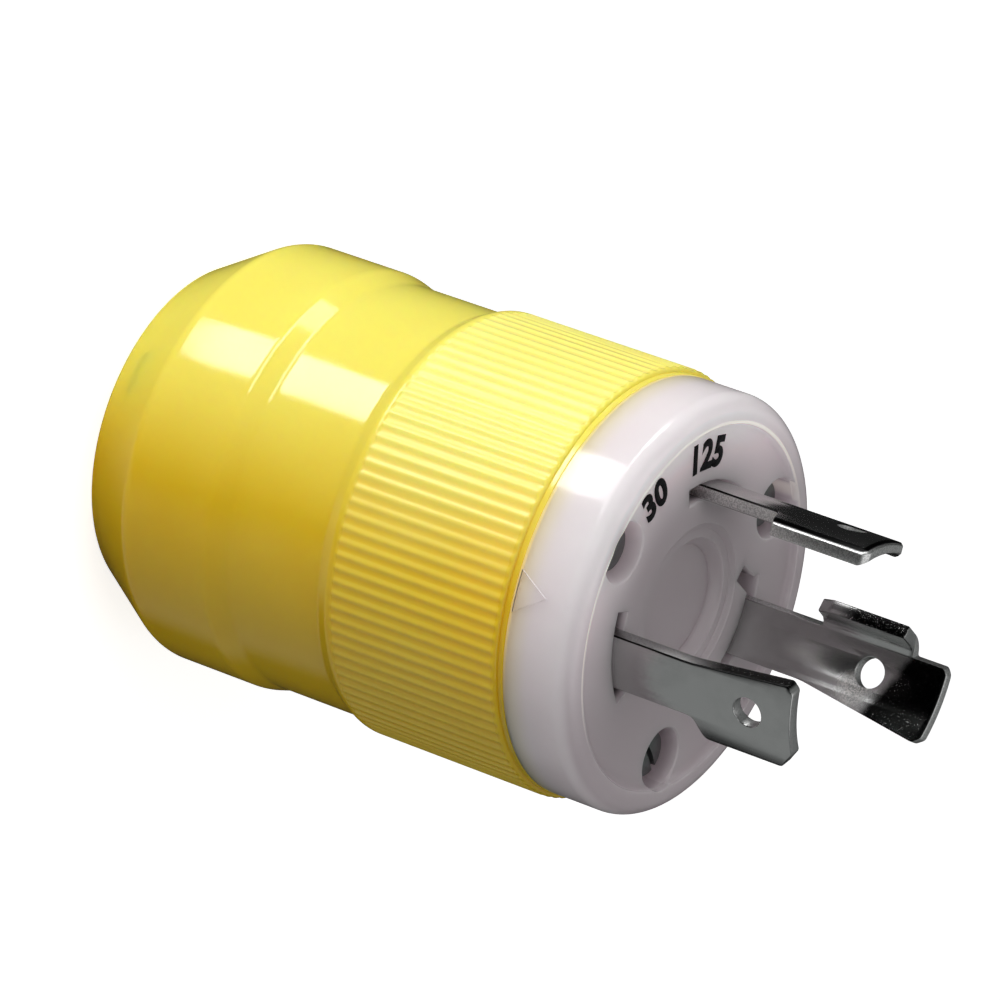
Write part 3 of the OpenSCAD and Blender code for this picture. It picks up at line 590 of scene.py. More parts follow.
def keep(piece, material, slot, *nodes):
    """Gives a finished piece its material and body, and hides the nodes that it stands for."""
    piece.data.materials.clear()
    piece.data.materials.append(material)
    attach(piece, BODY)
    if nodes:
        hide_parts(*nodes)
    return piece


def carve(piece, cutters):
    """Cuts the cutters out of a piece, with its result applied, and removes them."""
    for cutter in cutters:
        modifier = piece.modifiers.new("cut", "BOOLEAN")
        modifier.operation = "DIFFERENCE"
        modifier.solver = "EXACT"
        modifier.object = cutter
    mesh = worked_out(piece)
    piece.modifiers.clear()
    piece.data = mesh
    for cutter in cutters:
        bpy.data.objects.remove(cutter)


def worked_out(piece):
    """The mesh that an object's curve or modifiers make."""
    result = piece.evaluated_get(bpy.context.evaluated_depsgraph_get())
    return bpy.data.meshes.new_from_object(result)


def reshade(piece, limit=FACE_EDGE_ANGLE):
    """Merges a piece's doubles and shades it again."""
    bm = bmesh.new()
    bm.from_mesh(piece.data)
    bmesh.ops.remove_doubles(bm, verts=bm.verts, dist=1e-7)
    shade(bm, limit)
    bm.to_mesh(piece.data)
    bm.free()


def round_place(angle, radius):
    """A point at that angle and distance from the axis."""
    return Vector((radius * math.cos(angle), radius * math.sin(angle), 0.0))


def screw_angles(f):
    """The angles round the axis of the three assembly screws, and so of their bosses."""
    return [f.screw_turn + i * 2 * math.pi / 3 for i in range(3)]


def shell_section(s):
    """The shell's closed half section, from the seal's recess round the outside and back inside."""
    round_r = s.rear_r - s.rear_round
    taper = Vector((s.belt_r - round_r, s.belt_z - s.rear_round))
    meet = math.degrees(math.atan2(taper.y, taper.x) - math.acos(s.rear_round / taper.length))
    edge = arc(round_r, s.rear_round, s.rear_round, -90, meet, 12)
    brow_share = 0.08
    before = tuple(a + (b - a) * (1 - brow_share) for a, b in zip(edge[-1], (s.belt_r, s.belt_z)))
    brow = bend_between(before, (s.belt_r, s.belt_z), (s.belt_r, s.belt_z + 0.7 * MM))
    fade = [(s.crest_r, s.ribs_z + i * 0.12 * MM) for i in range(5)]
    run_out = s.crest_r - s.lip_r
    chamfer = 0.08 * MM
    narrowing, narrowing_h = 3.6 * MM, 5.4 * MM
    return [
        (s.recess_r, 0.0), *edge, *brow,
        *ramp(s.belt_r, s.belt_end, s.waist_r, s.waist_z, 0.6 * MM),
        *ramp(s.waist_r, s.waist_end, s.crest_r, s.grip_z, 0.35 * MM), *fade,
        *arc(s.lip_r, s.ribs_end - run_out, run_out, 0, 90, 5),
        (s.lip_r, SHELL_TOP - chamfer), (s.lip_r - chamfer, SHELL_TOP), (s.bore_r, SHELL_TOP),
        (s.bore_r, s.ledge_z), (s.chamber_r, s.ledge_z), (s.chamber_r, s.rear_wall + narrowing_h),
        (s.chamber_r - narrowing, s.rear_wall), (s.seal_r, s.rear_wall), (s.seal_r, s.recess),
        (s.recess_r, s.recess),
    ]


def press_ribs(bm, s):
    """Presses the round grooves between the ribs into the grip."""
    fade_len = 0.48 * MM
    crest_narrow = 1.7
    for vert in bm.verts:
        radius = math.hypot(vert.co.x, vert.co.y)
        if radius < s.lip_r - 0.01 * MM or not s.ribs_z < vert.co.z < s.ribs_end + 0.01 * MM:
            continue
        phase = math.atan2(vert.co.y, vert.co.x) / (2 * math.pi) * s.ribs
        wave = 1 - (0.5 - 0.5 * math.cos(2 * math.pi * phase)) ** crest_narrow
        start = min(1.0, (vert.co.z - s.ribs_z) / fade_len)
        wanted = s.crest_r - s.rib_depth * wave * start * (2 - start)
        if wanted < radius:
            vert.co.xy *= wanted / radius


# how deep a boss and its web reach into the wall that they grow from
ROOTED = 0.3 * MM


def boss_section(s):
    """Half section of a boss, with the insert's hole and the room for the screw's end."""
    low = s.rear_wall - ROOTED
    insert_r, insert_z = 2.5 * MM, 42 * MM
    room_r, room_z = 2.25 * MM, 39.4 * MM
    return [(0.0, low), (s.boss_r, low), (s.boss_r, s.boss_top), (insert_r, s.boss_top),
            (insert_r, insert_z), (room_r, insert_z), (room_r, room_z), (0.0, room_z)]


def add_boss(bm, s, reach, angle):
    """Adds a boss at that distance from the axis, with the web that joins it to the wall."""
    boss = revolve(boss_section(s), 32)
    bmesh.ops.translate(boss, verts=boss.verts, vec=(reach, 0, 0))
    low = s.rear_wall - ROOTED
    span = s.chamber_r - reach - s.boss_r + MM
    middle = (s.chamber_r + ROOTED - span / 2, 0, (s.boss_top + low) / 2)
    add_block(boss, (span, s.boss_web, s.boss_top - low), middle)
    turn_mesh(boss, angle)
    extra = bpy.data.meshes.new("boss")
    boss.to_mesh(extra)
    boss.free()
    bm.from_mesh(extra)
    bpy.data.meshes.remove(extra)


class PLUG_OT_shell(bpy.types.Operator):
    """Model the yellow shell with its belt, waist and ribbed grip"""
    bl_idname = "plug.shell"
    bl_label = "Shell"

    def execute(self, context):
        s = context.scene.plug_shell
        f = context.scene.plug_front
        bm = revolve(shell_section(s), s.ribs * 8)
        press_ribs(bm, s)
        for angle in screw_angles(f):
            add_boss(bm, s, f.screw_circle, angle)
        shade(bm, math.radians(40))
        piece = as_object("yellow_shell", bm)
        keep(piece, shell_plastic(context.scene.plug_colours, s), "yellow_shell", "shell")
        return {"FINISHED"}


def front_section(f):
    """The front body's half section, from its inner face round the spigot, wall, rim and recesses."""
    rim_out = f.wall_r - f.round_r
    rim_in = rim_out - f.rim_w
    dish_z = f.face_z - f.dish
    well_z = dish_z - f.well
    nick = 0.25 * MM
    seam = 0.02 * MM
    return [
        (0.0, f.inner_z), (f.spigot_in, f.inner_z), (f.spigot_in, f.spigot_z), (f.spigot_r, f.spigot_z),
        (f.spigot_r, SHELL_TOP), (f.wall_r - seam, SHELL_TOP), (f.wall_r, SHELL_TOP + seam),
        *arc(rim_out, FRONT_TOP - f.round_r, f.round_r, 0, 90, 12),
        *arc(rim_in, FRONT_TOP - nick, nick, 90, 165, 4),
        *bend_between((rim_in - 0.45 * MM, f.face_z + 0.3 * MM), (rim_in - 0.7 * MM, f.face_z),
                      (rim_in - 1.3 * MM, f.face_z), 6),
        *soft_step(f.dish_r, f.face_z, f.dish_r - 0.8 * MM, dish_z, 8),
        *soft_step(f.well_r + 0.3 * MM, dish_z, f.well_r - 0.9 * MM, well_z, 12),
        (0.0, well_z),
    ]


# middles of the slots round the axis, in degrees
SLOT_MIDDLES = {"ground": 92.1, "hot": 192.7, "neutral": 305.8}
# room on each side of a blade in its slot
SLOT_GAP = 0.25 * MM
# widening of each kind of opening at its mouth
MOUTH = {"slot": 0.12 * MM, "counterbore": 0.15 * MM, "screw_hole": 0.01 * MM}
SCREW_HOLE_R = 2.25 * MM


def flared(inner, outer, low, face, flare):
    """Half section of a cutter whose mouth widens a little at the face."""
    above = face + 2 * MM
    points = [(outer, low), (outer, face - flare), (outer + flare, face), (outer + flare, above)]
    if inner <= 0:
        return [(0.0, low), *points, (0.0, above)]
    return [(inner, low), *points, (inner - flare, above), (inner - flare, face), (inner, face - flare)]


def drill(name, place, radius, low, face):
    """A round cutter at a place, with the mouth of its name."""
    bm = revolve(flared(0.0, radius, low, face, MOUTH[name]), 48)
    bmesh.ops.translate(bm, verts=bm.verts, vec=place)
    return as_object(name, bm)


class PLUG_OT_front(bpy.types.Operator):
    """Model the nylon front body with its slots, screw holes and recesses"""
    bl_idname = "plug.front"
    bl_label = "Front Body"

    def execute(self, context):
        f = context.scene.plug_front
        b = context.scene.plug_blades
        low = f.inner_z - MM
        piece = as_object("nylon_front", revolve(front_section(f), 288))
        cutters = []
        inner, outer = b.outer_r - b.thick - SLOT_GAP, b.outer_r + SLOT_GAP
        for name, middle in SLOT_MIDDLES.items():
            section = flared(inner, outer, low, f.face_z, MOUTH["slot"])
            cutters.append(as_object(name + "_slot", sector(section, math.radians(middle), f.slot_span, 26)))
        cutters.append(foot_cutter(f, b, low))
        for angle in screw_angles(f):
            place = round_place(angle, f.screw_circle)
            cutters.append(drill("counterbore", place, f.screw_hole, f.head_seat, f.face_z))
            cutters.append(drill("screw_hole", place, SCREW_HOLE_R, low, f.head_seat + 0.5 * MM))
        carve(piece, cutters)
        reshade(piece)
        keep(piece, front_nylon(context.scene.plug_colours, f), "front_nylon", "front_body")
        return {"FINISHED"}


# bevels that are coined into the tips, and along the hot blade's step
COIN_TIP = 1.0 * MM
COIN_SIDE = 0.85 * MM
COIN_DEPTH = 0.26 * MM
# half the height over which a flat shank turns into a curved neck
BLADE_BEND = 0.6 * MM
TERMINAL_HOLE_R = 2.1 * MM
# the ground blade's foot: where it starts, how far it bends, its bend's radius, its reach and its length
FOOT_FROM = math.radians(13.0)
FOOT_TURN = math.radians(62.0)
FOOT_BEND_R = 2.6 * MM
FOOT_REACH = 9.6 * MM
FOOT_LEN = 12.1 * MM
# reach of the locking steps past the necks, and spread of the straight edges towards the tips
NEUTRAL_STEP = 3.2 * MM
HOT_STEP = 2.5 * MM
CURRENT_FLARE = 1.3 * MM
GROUND_FLARE = 2.4 * MM
# corner cuts at the tips, across and along the blade
SMALL_CUT = (0.7 * MM, 0.9 * MM)
WIDE_CUT = (2.7 * MM, 2.0 * MM)
# places of the blades round the axis
GROUND_TURN = math.radians(90)
HOT_TURN = math.radians(191)
NEUTRAL_TURN = math.radians(307)


def foot_centre(b):
    """The centre of the foot's bend, in the ground blade's own plane."""
    return round_place(FOOT_FROM, b.outer_r - b.thick / 2 - FOOT_BEND_R)


def foot_line(b):
    """Start, direction and length of the straight leg of the foot, in the ground blade's own plane."""
    start = foot_centre(b) + round_place(FOOT_FROM + FOOT_TURN, FOOT_BEND_R)
    heading = round_place(FOOT_FROM + FOOT_TURN + math.pi / 2, 1.0)
    return start, heading, (start.x - FOOT_REACH) / -heading.x


def foot_edge_across(b):
    """How far across the ground blade's blank the foot's bend starts."""
    return (b.outer_r - b.thick / 2) * math.sin(FOOT_FROM)


def foot_cutter(f, b, low):
    """The cutter of the slot that lets the ground blade's foot through the face."""
    start, heading, run = foot_line(b)
    back = b.thick
    size = (run + SLOT_GAP + back, b.thick + 2 * SLOT_GAP, f.face_z + MM - low)
    bm = bmesh.new()
    add_block(bm, size, (size[0] / 2 - back, 0, low + size[2] / 2))
    turn_mesh(bm, math.atan2(heading.y, heading.x))
    bmesh.ops.translate(bm, verts=bm.verts, vec=start)
    turn_mesh(bm, GROUND_TURN)
    return as_object("foot_slot", bm)


def rounded_outline(corners):
    """An outline whose corners, given as (across, height, rounding), are rounded."""
    points = []
    for i, (t, z, rounding) in enumerate(corners):
        here = Vector((t, z))
        before = Vector(corners[i - 1][:2])
        after = Vector(corners[(i + 1) % len(corners)][:2])
        if rounding == 0:
            points.append(here)
            continue
        first = here + (before - here).normalized() * rounding
        last = here + (after - here).normalized() * rounding
        points.extend(Vector(p) for p in bend_between(first, here, last, 4))
    return points


def blade_corners(f, b, tip, flare, cut, side):
    """Corners of a blade's blank: cut is its straight edge's corner cut, side its other edge's corners."""
    top = f.face_z + tip
    bar = f.inner_z
    soft = 0.3 * MM
    return [
        (-b.tongue, b.tongue_z, MM), (b.tongue, b.tongue_z, MM), (b.tongue, bar - b.shoulder_h, 0),
        (b.shoulder, bar - b.shoulder_h, soft), (b.shoulder, bar, soft), (b.neck, bar, 0),
        *side,
        (-b.neck - flare + cut[0], top, soft), (-b.neck - flare, top - cut[1], soft),
        (-b.neck, f.face_z + b.notch - 0.6 * MM, MM), (-b.neck, bar, 0),
        (-b.shoulder, bar, soft), (-b.shoulder, bar - b.shoulder_h, soft),
        (-b.tongue, bar - b.shoulder_h, 0),
    ]


def neutral_side(f, b):
    """Corners of the neutral blade's locking step."""
    notch, top = f.face_z + b.notch, f.face_z + b.short
    step = b.neck + NEUTRAL_STEP
    return [(b.neck, notch - 0.15 * MM, 0.9 * MM), (step, notch + 0.85 * MM, 0.6 * MM),
            (step, top - 2 * MM, 0.4 * MM), (b.neck + 0.4 * MM, top, 0.4 * MM)]


def hot_side(f, b):
    """Corners of the hot blade's locking step."""
    notch, top = f.face_z + b.notch, f.face_z + b.short
    step = b.neck + HOT_STEP
    return [(b.neck, notch - 0.4 * MM, 0.5 * MM), (step, notch + 0.4 * MM, 0.5 * MM),
            (step, top - 0.6 * MM, 0.3 * MM), (b.neck + 1.7 * MM, top, 0.3 * MM)]


def ground_side(f, b):
    """Corners of the ground blade's foot, before it is bent, and of the edge above it."""
    notch, top = f.face_z + b.notch, f.face_z + b.long
    edge = foot_edge_across(b)
    end = edge + FOOT_TURN * FOOT_BEND_R + foot_line(b)[2]
    return [(edge + 0.35 * MM, notch - 0.1 * MM, 0.4 * MM), (end - 0.9 * MM, notch, 0.3 * MM),
            (end, notch + 1.8 * MM, 0.4 * MM), (end, notch + FOOT_LEN, 0.3 * MM),
            (edge + 0.3 * MM, notch + FOOT_LEN, 0.25 * MM), (edge + 0.3 * MM, top - 0.6 * MM, 0.3 * MM),
            (edge - 0.4 * MM, top, 0.3 * MM)]


def circle_points(t, z, r, count=36):
    """Points round a hole in a blank."""
    turns = [2 * math.pi * i / count for i in range(count)]
    return [Vector((t + r * math.cos(a), z + r * math.sin(a))) for a in turns]


def flat_blank(points, holes, b):
    """The flat sheet-metal blank of a blade, with holes and softly broken edges: x is the thickness."""
    bm = bmesh.new()
    for loop in [points] + [circle_points(*hole) for hole in holes]:
        verts = [bm.verts.new((-b.thick / 2, p[0], p[1])) for p in loop]
        for i, vert in enumerate(verts):
            bm.edges.new((verts[i - 1], vert))
    bmesh.ops.triangle_fill(bm, use_beauty=True, use_dissolve=False, edges=bm.edges[:], normal=(-1, 0, 0))
    bmesh.ops.dissolve_limit(bm, angle_limit=0.01, verts=bm.verts[:], edges=bm.edges[:],
                             use_dissolve_boundaries=False)
    thicken(bm, bm.faces[:], (b.thick, 0, 0))
    bmesh.ops.recalc_face_normals(bm, faces=bm.faces)
    sharp = [e for e in bm.edges if e.calc_face_angle(0.0) > 1.2]
    rims = [e for e in sharp if abs(e.verts[0].co.x - e.verts[1].co.x) < 1e-6]
    bmesh.ops.bevel(bm, geom=rims, offset=b.edge, offset_type="OFFSET", segments=3, profile=0.5,
                    affect="EDGES", material=-1, clamp_overlap=True)
    return bm


def whole(bm):
    """All vertices, edges and faces of a bmesh."""
    return bm.verts[:] + bm.edges[:] + bm.faces[:]


def slice_across(bm, axis, places):
    """Cuts the mesh by planes across an axis, so that it can bend there."""
    normal = Vector((0, 0, 0))
    normal[axis] = 1.0
    for place in places:
        bmesh.ops.bisect_plane(bm, geom=whole(bm), plane_co=normal * place, plane_no=normal)


def coin(bm, top, edge, notch, thin):
    """Bevels the tip on both faces, and the locking step's edge on the outer face."""
    for vert in bm.verts:
        tip = min(1.0, max(0.0, (vert.co.z - (top - COIN_TIP)) / COIN_TIP))
        vert.co.x *= 1 - thin * tip
        if edge and vert.co.x > 0 and vert.co.z > notch:
            side = min(1.0, max(0.0, (vert.co.y - (edge - COIN_SIDE)) / COIN_SIDE))
            vert.co.x -= COIN_DEPTH * side * (1 - tip)


def on_ring(across, through, b):
    """Where a point of a current blade's blank goes on its ring."""
    radius = b.outer_r - b.thick / 2 + through
    return Vector((math.sqrt(radius * radius - across * across), across, 0))


def on_foot(across, through, b):
    """Where a point of the ground blade's blank goes: its ring, the foot's bend or the foot's leg."""
    middle_r = b.outer_r - b.thick / 2
    edge = foot_edge_across(b)
    if across < edge:
        angle = math.asin(across / middle_r)
        part = min(1.0, max(0.0, across / edge))
        lean = angle * part
        return round_place(angle, middle_r) + round_place(lean, through / math.cos(angle - lean))
    start, heading = foot_line(b)[:2]
    turned = (across - edge) / FOOT_BEND_R
    if turned < FOOT_TURN:
        return foot_centre(b) + round_place(FOOT_FROM + turned, FOOT_BEND_R + through)
    rest = across - edge - FOOT_TURN * FOOT_BEND_R
    return start + heading * rest + round_place(FOOT_FROM + FOOT_TURN, through)


def form_blade(bm, f, b, place, angle):
    """Bends the blank round the plug's axis above the shoulder, and turns it to its angle."""
    start = f.inner_z - BLADE_BEND
    end = f.inner_z + BLADE_BEND
    flat_x = b.outer_r - b.thick / 2
    for vert in bm.verts:
        through, across, height = vert.co
        part = min(1.0, max(0.0, (height - start) / (end - start)))
        flat = Vector((flat_x + through, across, 0))
        spot = flat if part == 0 else flat.lerp(place(across, through, b), part)
        vert.co = (spot.x, spot.y, height)
    turn_mesh(bm, angle)


def steps_between(low, high, step):
    """Evenly spaced places inside a range."""
    count = max(2, round((high - low) / step))
    return [low + (high - low) * i / count for i in range(1, count)]


class PLUG_OT_blades(bpy.types.Operator):
    """Model the three plated blades from flat blanks that are bent round the axis"""
    bl_idname = "plug.blades"
    bl_label = "Blades"

    def execute(self, context):
        f = context.scene.plug_front
        b = context.scene.plug_blades
        metal = plated_metal(context.scene.plug_colours, b)
        jobs = (
            {"node": "neutral_blade", "tip": b.short, "flare": CURRENT_FLARE, "cut": SMALL_CUT,
             "side": neutral_side(f, b), "angle": NEUTRAL_TURN},
            {"node": "hot_blade", "tip": b.short, "flare": CURRENT_FLARE, "cut": WIDE_CUT,
             "side": hot_side(f, b), "angle": HOT_TURN, "step": b.neck + HOT_STEP, "thin": 0.42},
            {"node": "ground_blade", "tip": b.long, "flare": GROUND_FLARE, "cut": SMALL_CUT,
             "side": ground_side(f, b), "angle": GROUND_TURN, "place": on_foot, "thin": 0.15},
        )
        for job in jobs:
            self.model(f, b, metal, **job)
        return {"FINISHED"}

    def model(self, f, b, metal, node, tip, flare, cut, side, angle, place=on_ring, step=None, thin=0.0):
        """One blade, from its flat blank to its coined and bent form."""
        top = f.face_z + tip
        corners = blade_corners(f, b, tip, flare, cut, side)
        holes = [(0.0, f.face_z + b.hole_z, b.hole_r), (0.0, b.screw_z, TERMINAL_HOLE_R)]
        bm = flat_blank(rounded_outline(corners), holes, b)
        strips = steps_between(-b.shoulder, b.shoulder + 1.5 * MM, 0.3 * MM)
        slice_across(bm, 1, strips + ([step - COIN_SIDE] if step else []))
        slice_across(bm, 2, [f.inner_z - BLADE_BEND, f.inner_z, f.inner_z + BLADE_BEND, top - COIN_TIP])
        coin(bm, top, step, f.face_z + b.notch, thin)
        form_blade(bm, f, b, place, angle)
        bmesh.ops.recalc_face_normals(bm, faces=bm.faces)
        shade(bm, math.radians(12), b.edge)
        keep(as_object("plated_" + node, bm), metal, "plated_blade", node)


# how far each screw's slot stands turned, in degrees
DRIVER_TURNS = (61, 100, 176)


class PLUG_OT_face_screws(bpy.types.Operator):
    """Model the three slotted assembly screws"""
    bl_idname = "plug.face_screws"
    bl_label = "Face Screws"

    def execute(self, context):
        f = context.scene.plug_front
        shank_r = 1.99 * MM
        end_z = 40 * MM
        crown = 0.25 * MM
        rounding = 0.35 * MM
        slot_size = (12 * MM, 0.8 * MM, 2 * MM)
        section = [
            (0.0, end_z), (shank_r - 0.5 * MM, end_z), (shank_r, end_z + 0.6 * MM), (shank_r, f.head_seat),
            (f.screw_head, f.head_seat),
            *arc(f.screw_head - rounding, f.head_top - crown - rounding, rounding, 0, 75, 5),
            (0.0, f.head_top),
        ]
        pieces = []
        for i, angle in enumerate(screw_angles(f)):
            piece = as_object("face_screw_%d" % (i + 1), revolve(section, 64))
            bm = bmesh.new()
            add_block(bm, slot_size, (0, 0, f.head_top + 0.1 * MM))
            turn_mesh(bm, math.radians(DRIVER_TURNS[i]))
            carve(piece, [as_object("driver_slot", bm)])
            piece.data.transform(Matrix.Translation(round_place(angle, f.screw_circle)))
            reshade(piece)
            pieces.append(piece)
        metal = turned_metal("dark_screw_steel", context.scene.plug_colours.dark_steel, 0.28)
        for piece in pieces:
            keep(piece, metal, "dark_steel")
        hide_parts("assembly_screws")
        return {"FINISHED"}


# each number, the angle of its middle round the axis and the pitch of its figures, in degrees
FIGURES = (("30", 237.6, 7.3), ("125", 205.0, 7.4))
FIGURE_RING = 17.15 * MM
FIGURE_SIZE = 4.9 * MM
FIGURE_WEIGHT = 0.24 * MM
FIGURE_NARROW = 0.92
INK_LIFT = 0.008 * MM
INK_THICK = 0.015 * MM


class PLUG_OT_print(bpy.types.Operator):
    """Add the plain printed figures and the moulded index mark"""
    bl_idname = "plug.print"
    bl_label = "Figures and Mark"

    def execute(self, context):
        f = context.scene.plug_front
        ink = print_ink(context.scene.plug_colours.ink)
        for text, middle, pitch in FIGURES:
            for i, letter in enumerate(text):
                angle = math.radians(middle + ((len(text) - 1) / 2 - i) * pitch)
                keep(figure("figure_%s_%d" % (text, i + 1), letter, angle, f.face_z), ink, "dark_steel")
        keep(index_mark(f), moulded_plastic("mark_nylon", (0.86, 0.82, 0.84), 0.2), "front_nylon")
        return {"FINISHED"}


def figure(name, letter, angle, height):
    """One printed figure on the face, its foot towards the axis."""
    curve = bpy.data.curves.new(name, "FONT")
    curve.body = letter
    curve.size = FIGURE_SIZE
    curve.align_x = "CENTER"
    curve.offset = FIGURE_WEIGHT
    curve.resolution_u = 6
    holder = bpy.data.objects.new(name + "_curve", curve)
    bpy.context.scene.collection.objects.link(holder)
    mesh = worked_out(holder)
    bpy.data.objects.remove(holder)
    bm = bmesh.new()
    bm.from_mesh(mesh)
    bpy.data.meshes.remove(mesh)
    bmesh.ops.remove_doubles(bm, verts=bm.verts, dist=1e-6)
    bmesh.ops.scale(bm, verts=bm.verts, vec=(FIGURE_NARROW, 1.0, 1.0))
    up = round_place(angle, 1.0)
    right = round_place(angle - math.pi / 2, 1.0)
    turned = Matrix((right, up, Vector((0, 0, 1)))).transposed().to_4x4()
    lift = Vector((0, 0, height + INK_LIFT))
    bmesh.ops.transform(bm, verts=bm.verts, matrix=Matrix.Translation(up * FIGURE_RING + lift) @ turned)
    thicken(bm, bm.faces[:], (0, 0, INK_THICK))
    bmesh.ops.recalc_face_normals(bm, faces=bm.faces)
    return as_object(name, bm)


def index_mark(f):
    """The raised triangle on the side wall that shows where the plug turns home."""
    left, apex, right = (math.radians(angle) * f.wall_r for angle in (275.4, 280.6, 286.6))
    foot_z = SHELL_TOP + 0.35 * MM
    apex_z = SHELL_TOP + 4.3 * MM
    line_w = 0.36 * MM
    raised = 0.26 * MM
    sunk = 0.04 * MM
    soft = 0.1 * MM
    bm = bmesh.new()
    corners = [(left, 0, foot_z), (right, 0, foot_z), (apex, 0, apex_z)]
    face = bm.faces.new([bm.verts.new(corner) for corner in corners])
    inset = bmesh.ops.inset_individual(bm, faces=[face], thickness=line_w, depth=0.0)
    bmesh.ops.delete(bm, geom=[face], context="FACES")
    thicken(bm, inset["faces"], (0, raised, 0))
    upper = [e for e in bm.edges if min(v.co.y for v in e.verts) > raised / 2]
    bmesh.ops.bevel(bm, geom=upper, offset=soft, offset_type="OFFSET", segments=2, profile=0.5,
                    affect="EDGES", material=-1)
    slice_across(bm, 0, steps_between(left, right, 0.6 * MM))
    for vert in bm.verts:
        spot = round_place(vert.co.x / f.wall_r, f.wall_r - sunk + vert.co.y)
        vert.co = (spot.x, spot.y, vert.co.z)
    bmesh.ops.recalc_face_normals(bm, faces=bm.faces)
    shade(bm)
    return as_object("index_mark", bm)


class PLUG_OT_inside(bpy.types.Operator):
    """Finish the pieces inside the shell, and model the cord seal"""
    bl_idname = "plug.inside"
    bl_label = "Inside Pieces"

    def execute(self, context):
        c = context.scene.plug_colours
        zinc = turned_metal("zinc_plate", c.zinc, 0.26)
        brass = turned_metal("turned_brass", c.brass, 0.24)
        green = turned_metal("green_plate", c.green, 0.3)
        grey = moulded_plastic("clamp_nylon", c.grey, 0.45)
        inner = moulded_plastic("terminal_nylon", c.nylon, 0.3)
        finishes = {
            "terminal_body": inner, "cord_clamp_yoke": grey, "cord_clamp_jaw": grey, "shell_inserts": brass,
            "hot_terminal_screw": brass, "ground_terminal_screw": green, "neutral_terminal_screw": zinc,
            "ground_clamp_plate": zinc, "hot_clamp_plate": zinc, "neutral_clamp_plate": zinc,
            "clamp_screws": zinc, "clamp_nuts": zinc, "yoke_screws": zinc,
        }
        for name, material in finishes.items():
            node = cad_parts[name]
            node.data.materials.clear()
            node.data.materials.append(material)
        self.model_seal(context)
        return {"FINISHED"}

    def model_seal(self, context):
        """The cord seal, turned with a flange on each side of the rear wall and rounded edges."""
        low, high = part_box("cord_seal")
        s = context.scene.plug_shell
        bore = 7.4 * MM
        rim = 13.8 * MM
        waist = 11.85 * MM
        soft = 0.4 * MM
        mouth = 0.5 * MM
        section = [
            *arc(bore + mouth, low.z + mouth, mouth, 180, 270, 4),
            *arc(rim - soft, low.z + soft, soft, -90, 0, 4),
            (rim, s.recess), (waist, s.recess), (waist, s.rear_wall), (rim, s.rear_wall),
            *arc(rim - soft, high.z - soft, soft, 0, 90, 4),
            *arc(bore + soft, high.z - soft, soft, 90, 180, 4),
        ]
        bm = revolve(section, 128)
        shade(bm)
        rubber = seal_rubber(context.scene.plug_colours.rubber)
        keep(as_object("rubber_seal", bm), rubber, "black_rubber", "cord_seal")


# the camera of the photograph: what it looks at, its distance and turns, and its lens
CAMERA_AIM = Vector((-4.22, -12.22, 49.99)) * MM
CAMERA_DISTANCE = 794.4 * MM
CAMERA_TURN = math.radians(0.7)
CAMERA_HEIGHT = math.radians(30.08)
CAMERA_ROLL = math.radians(109.5)
LENS_MM = 249.33
SENSOR_MM = 36.0
CLIP_END = 20.0
# the studio, in metres
PLUG_MIDDLE = Vector((0, 0, 0.04))
WHITE = (1.0, 1.0, 1.0)
WORLD_LEVEL = 0.24
PAPER = (0.85, 0.85, 0.85)
PAPER_LIFT = 0.78
FLOOR_SIZE = 6.0
BOWL_R = 1.6
BOWL_TOP = 1.35
# cards and lamps: name, azimuth, elevation, distance, size and strength
CARDS = (
    ("window", 223, -30, 0.87, (0.32, 0.185), 11.0),
    ("upper", 222, -14, 0.9, (0.72, 0.11), 7.0),
    ("side", 192, -8, 0.9, (0.32, 0.3), 5.5),
    ("top", 256, 40, 0.9, (0.3, 0.25), 1.6),
)
LAMPS = (
    ("key_lamp", 221, -6, 0.7, 0.5, 4.95),
    ("fill_lamp", 250, 60, 0.8, 0.7, 1.4),
)


def aimed(azimuth, elevation):
    """The direction from the plug at that azimuth and elevation, in degrees."""
    a = math.radians(azimuth)
    e = math.radians(elevation)
    return Vector((math.cos(a) * math.cos(e), math.sin(a) * math.cos(e), math.sin(e)))


def facing(azimuth, elevation, distance):
    """A matrix that puts a thing at that direction and distance, turned to face the plug."""
    direction = aimed(azimuth, elevation)
    turned = direction.to_track_quat("Z", "Y").to_matrix().to_4x4()
    return Matrix.Translation(PLUG_MIDDLE + direction * distance) @ turned


def lamp(name, azimuth, elevation, distance, size, power):
    """A soft lamp that lights the plug and doesn't show in its gloss."""
    data = bpy.data.lights.new(name, "AREA")
    data.shape = "RECTANGLE"
    data.size = size
    data.size_y = size
    data.energy = power
    holder = bpy.data.objects.new(name, data)
    holder.matrix_world = facing(azimuth, elevation, distance)
    holder.visible_glossy = False
    bpy.context.scene.collection.objects.link(holder)


def only_in_gloss(piece):
    """Leaves a stage piece visible to reflections alone."""
    piece.visible_camera = False
    piece.visible_diffuse = False
    piece.visible_transmission = False
    piece.visible_shadow = False
    piece.visible_volume_scatter = False


def card(name, azimuth, elevation, distance, size, level):
    """A flat card that shows only in the plug's reflections."""
    bm = bmesh.new()
    bmesh.ops.create_grid(bm, x_segments=1, y_segments=1, size=0.5)
    bmesh.ops.scale(bm, verts=bm.verts, vec=(size[0], size[1], 1.0))
    bmesh.ops.transform(bm, verts=bm.verts, matrix=facing(azimuth, elevation, distance))
    piece = as_object(name + "_card", bm)
    piece.data.materials.append(glow(name + "_glow", level))
    only_in_gloss(piece)


def glow(name, level):
    """A plain glowing card's material."""
    s = Shader(name)
    emission = s.add("ShaderNodeEmission", None, {"Color": WHITE, "Strength": level})
    s.add("ShaderNodeOutputMaterial", None, {"Surface": emission})
    return s.material


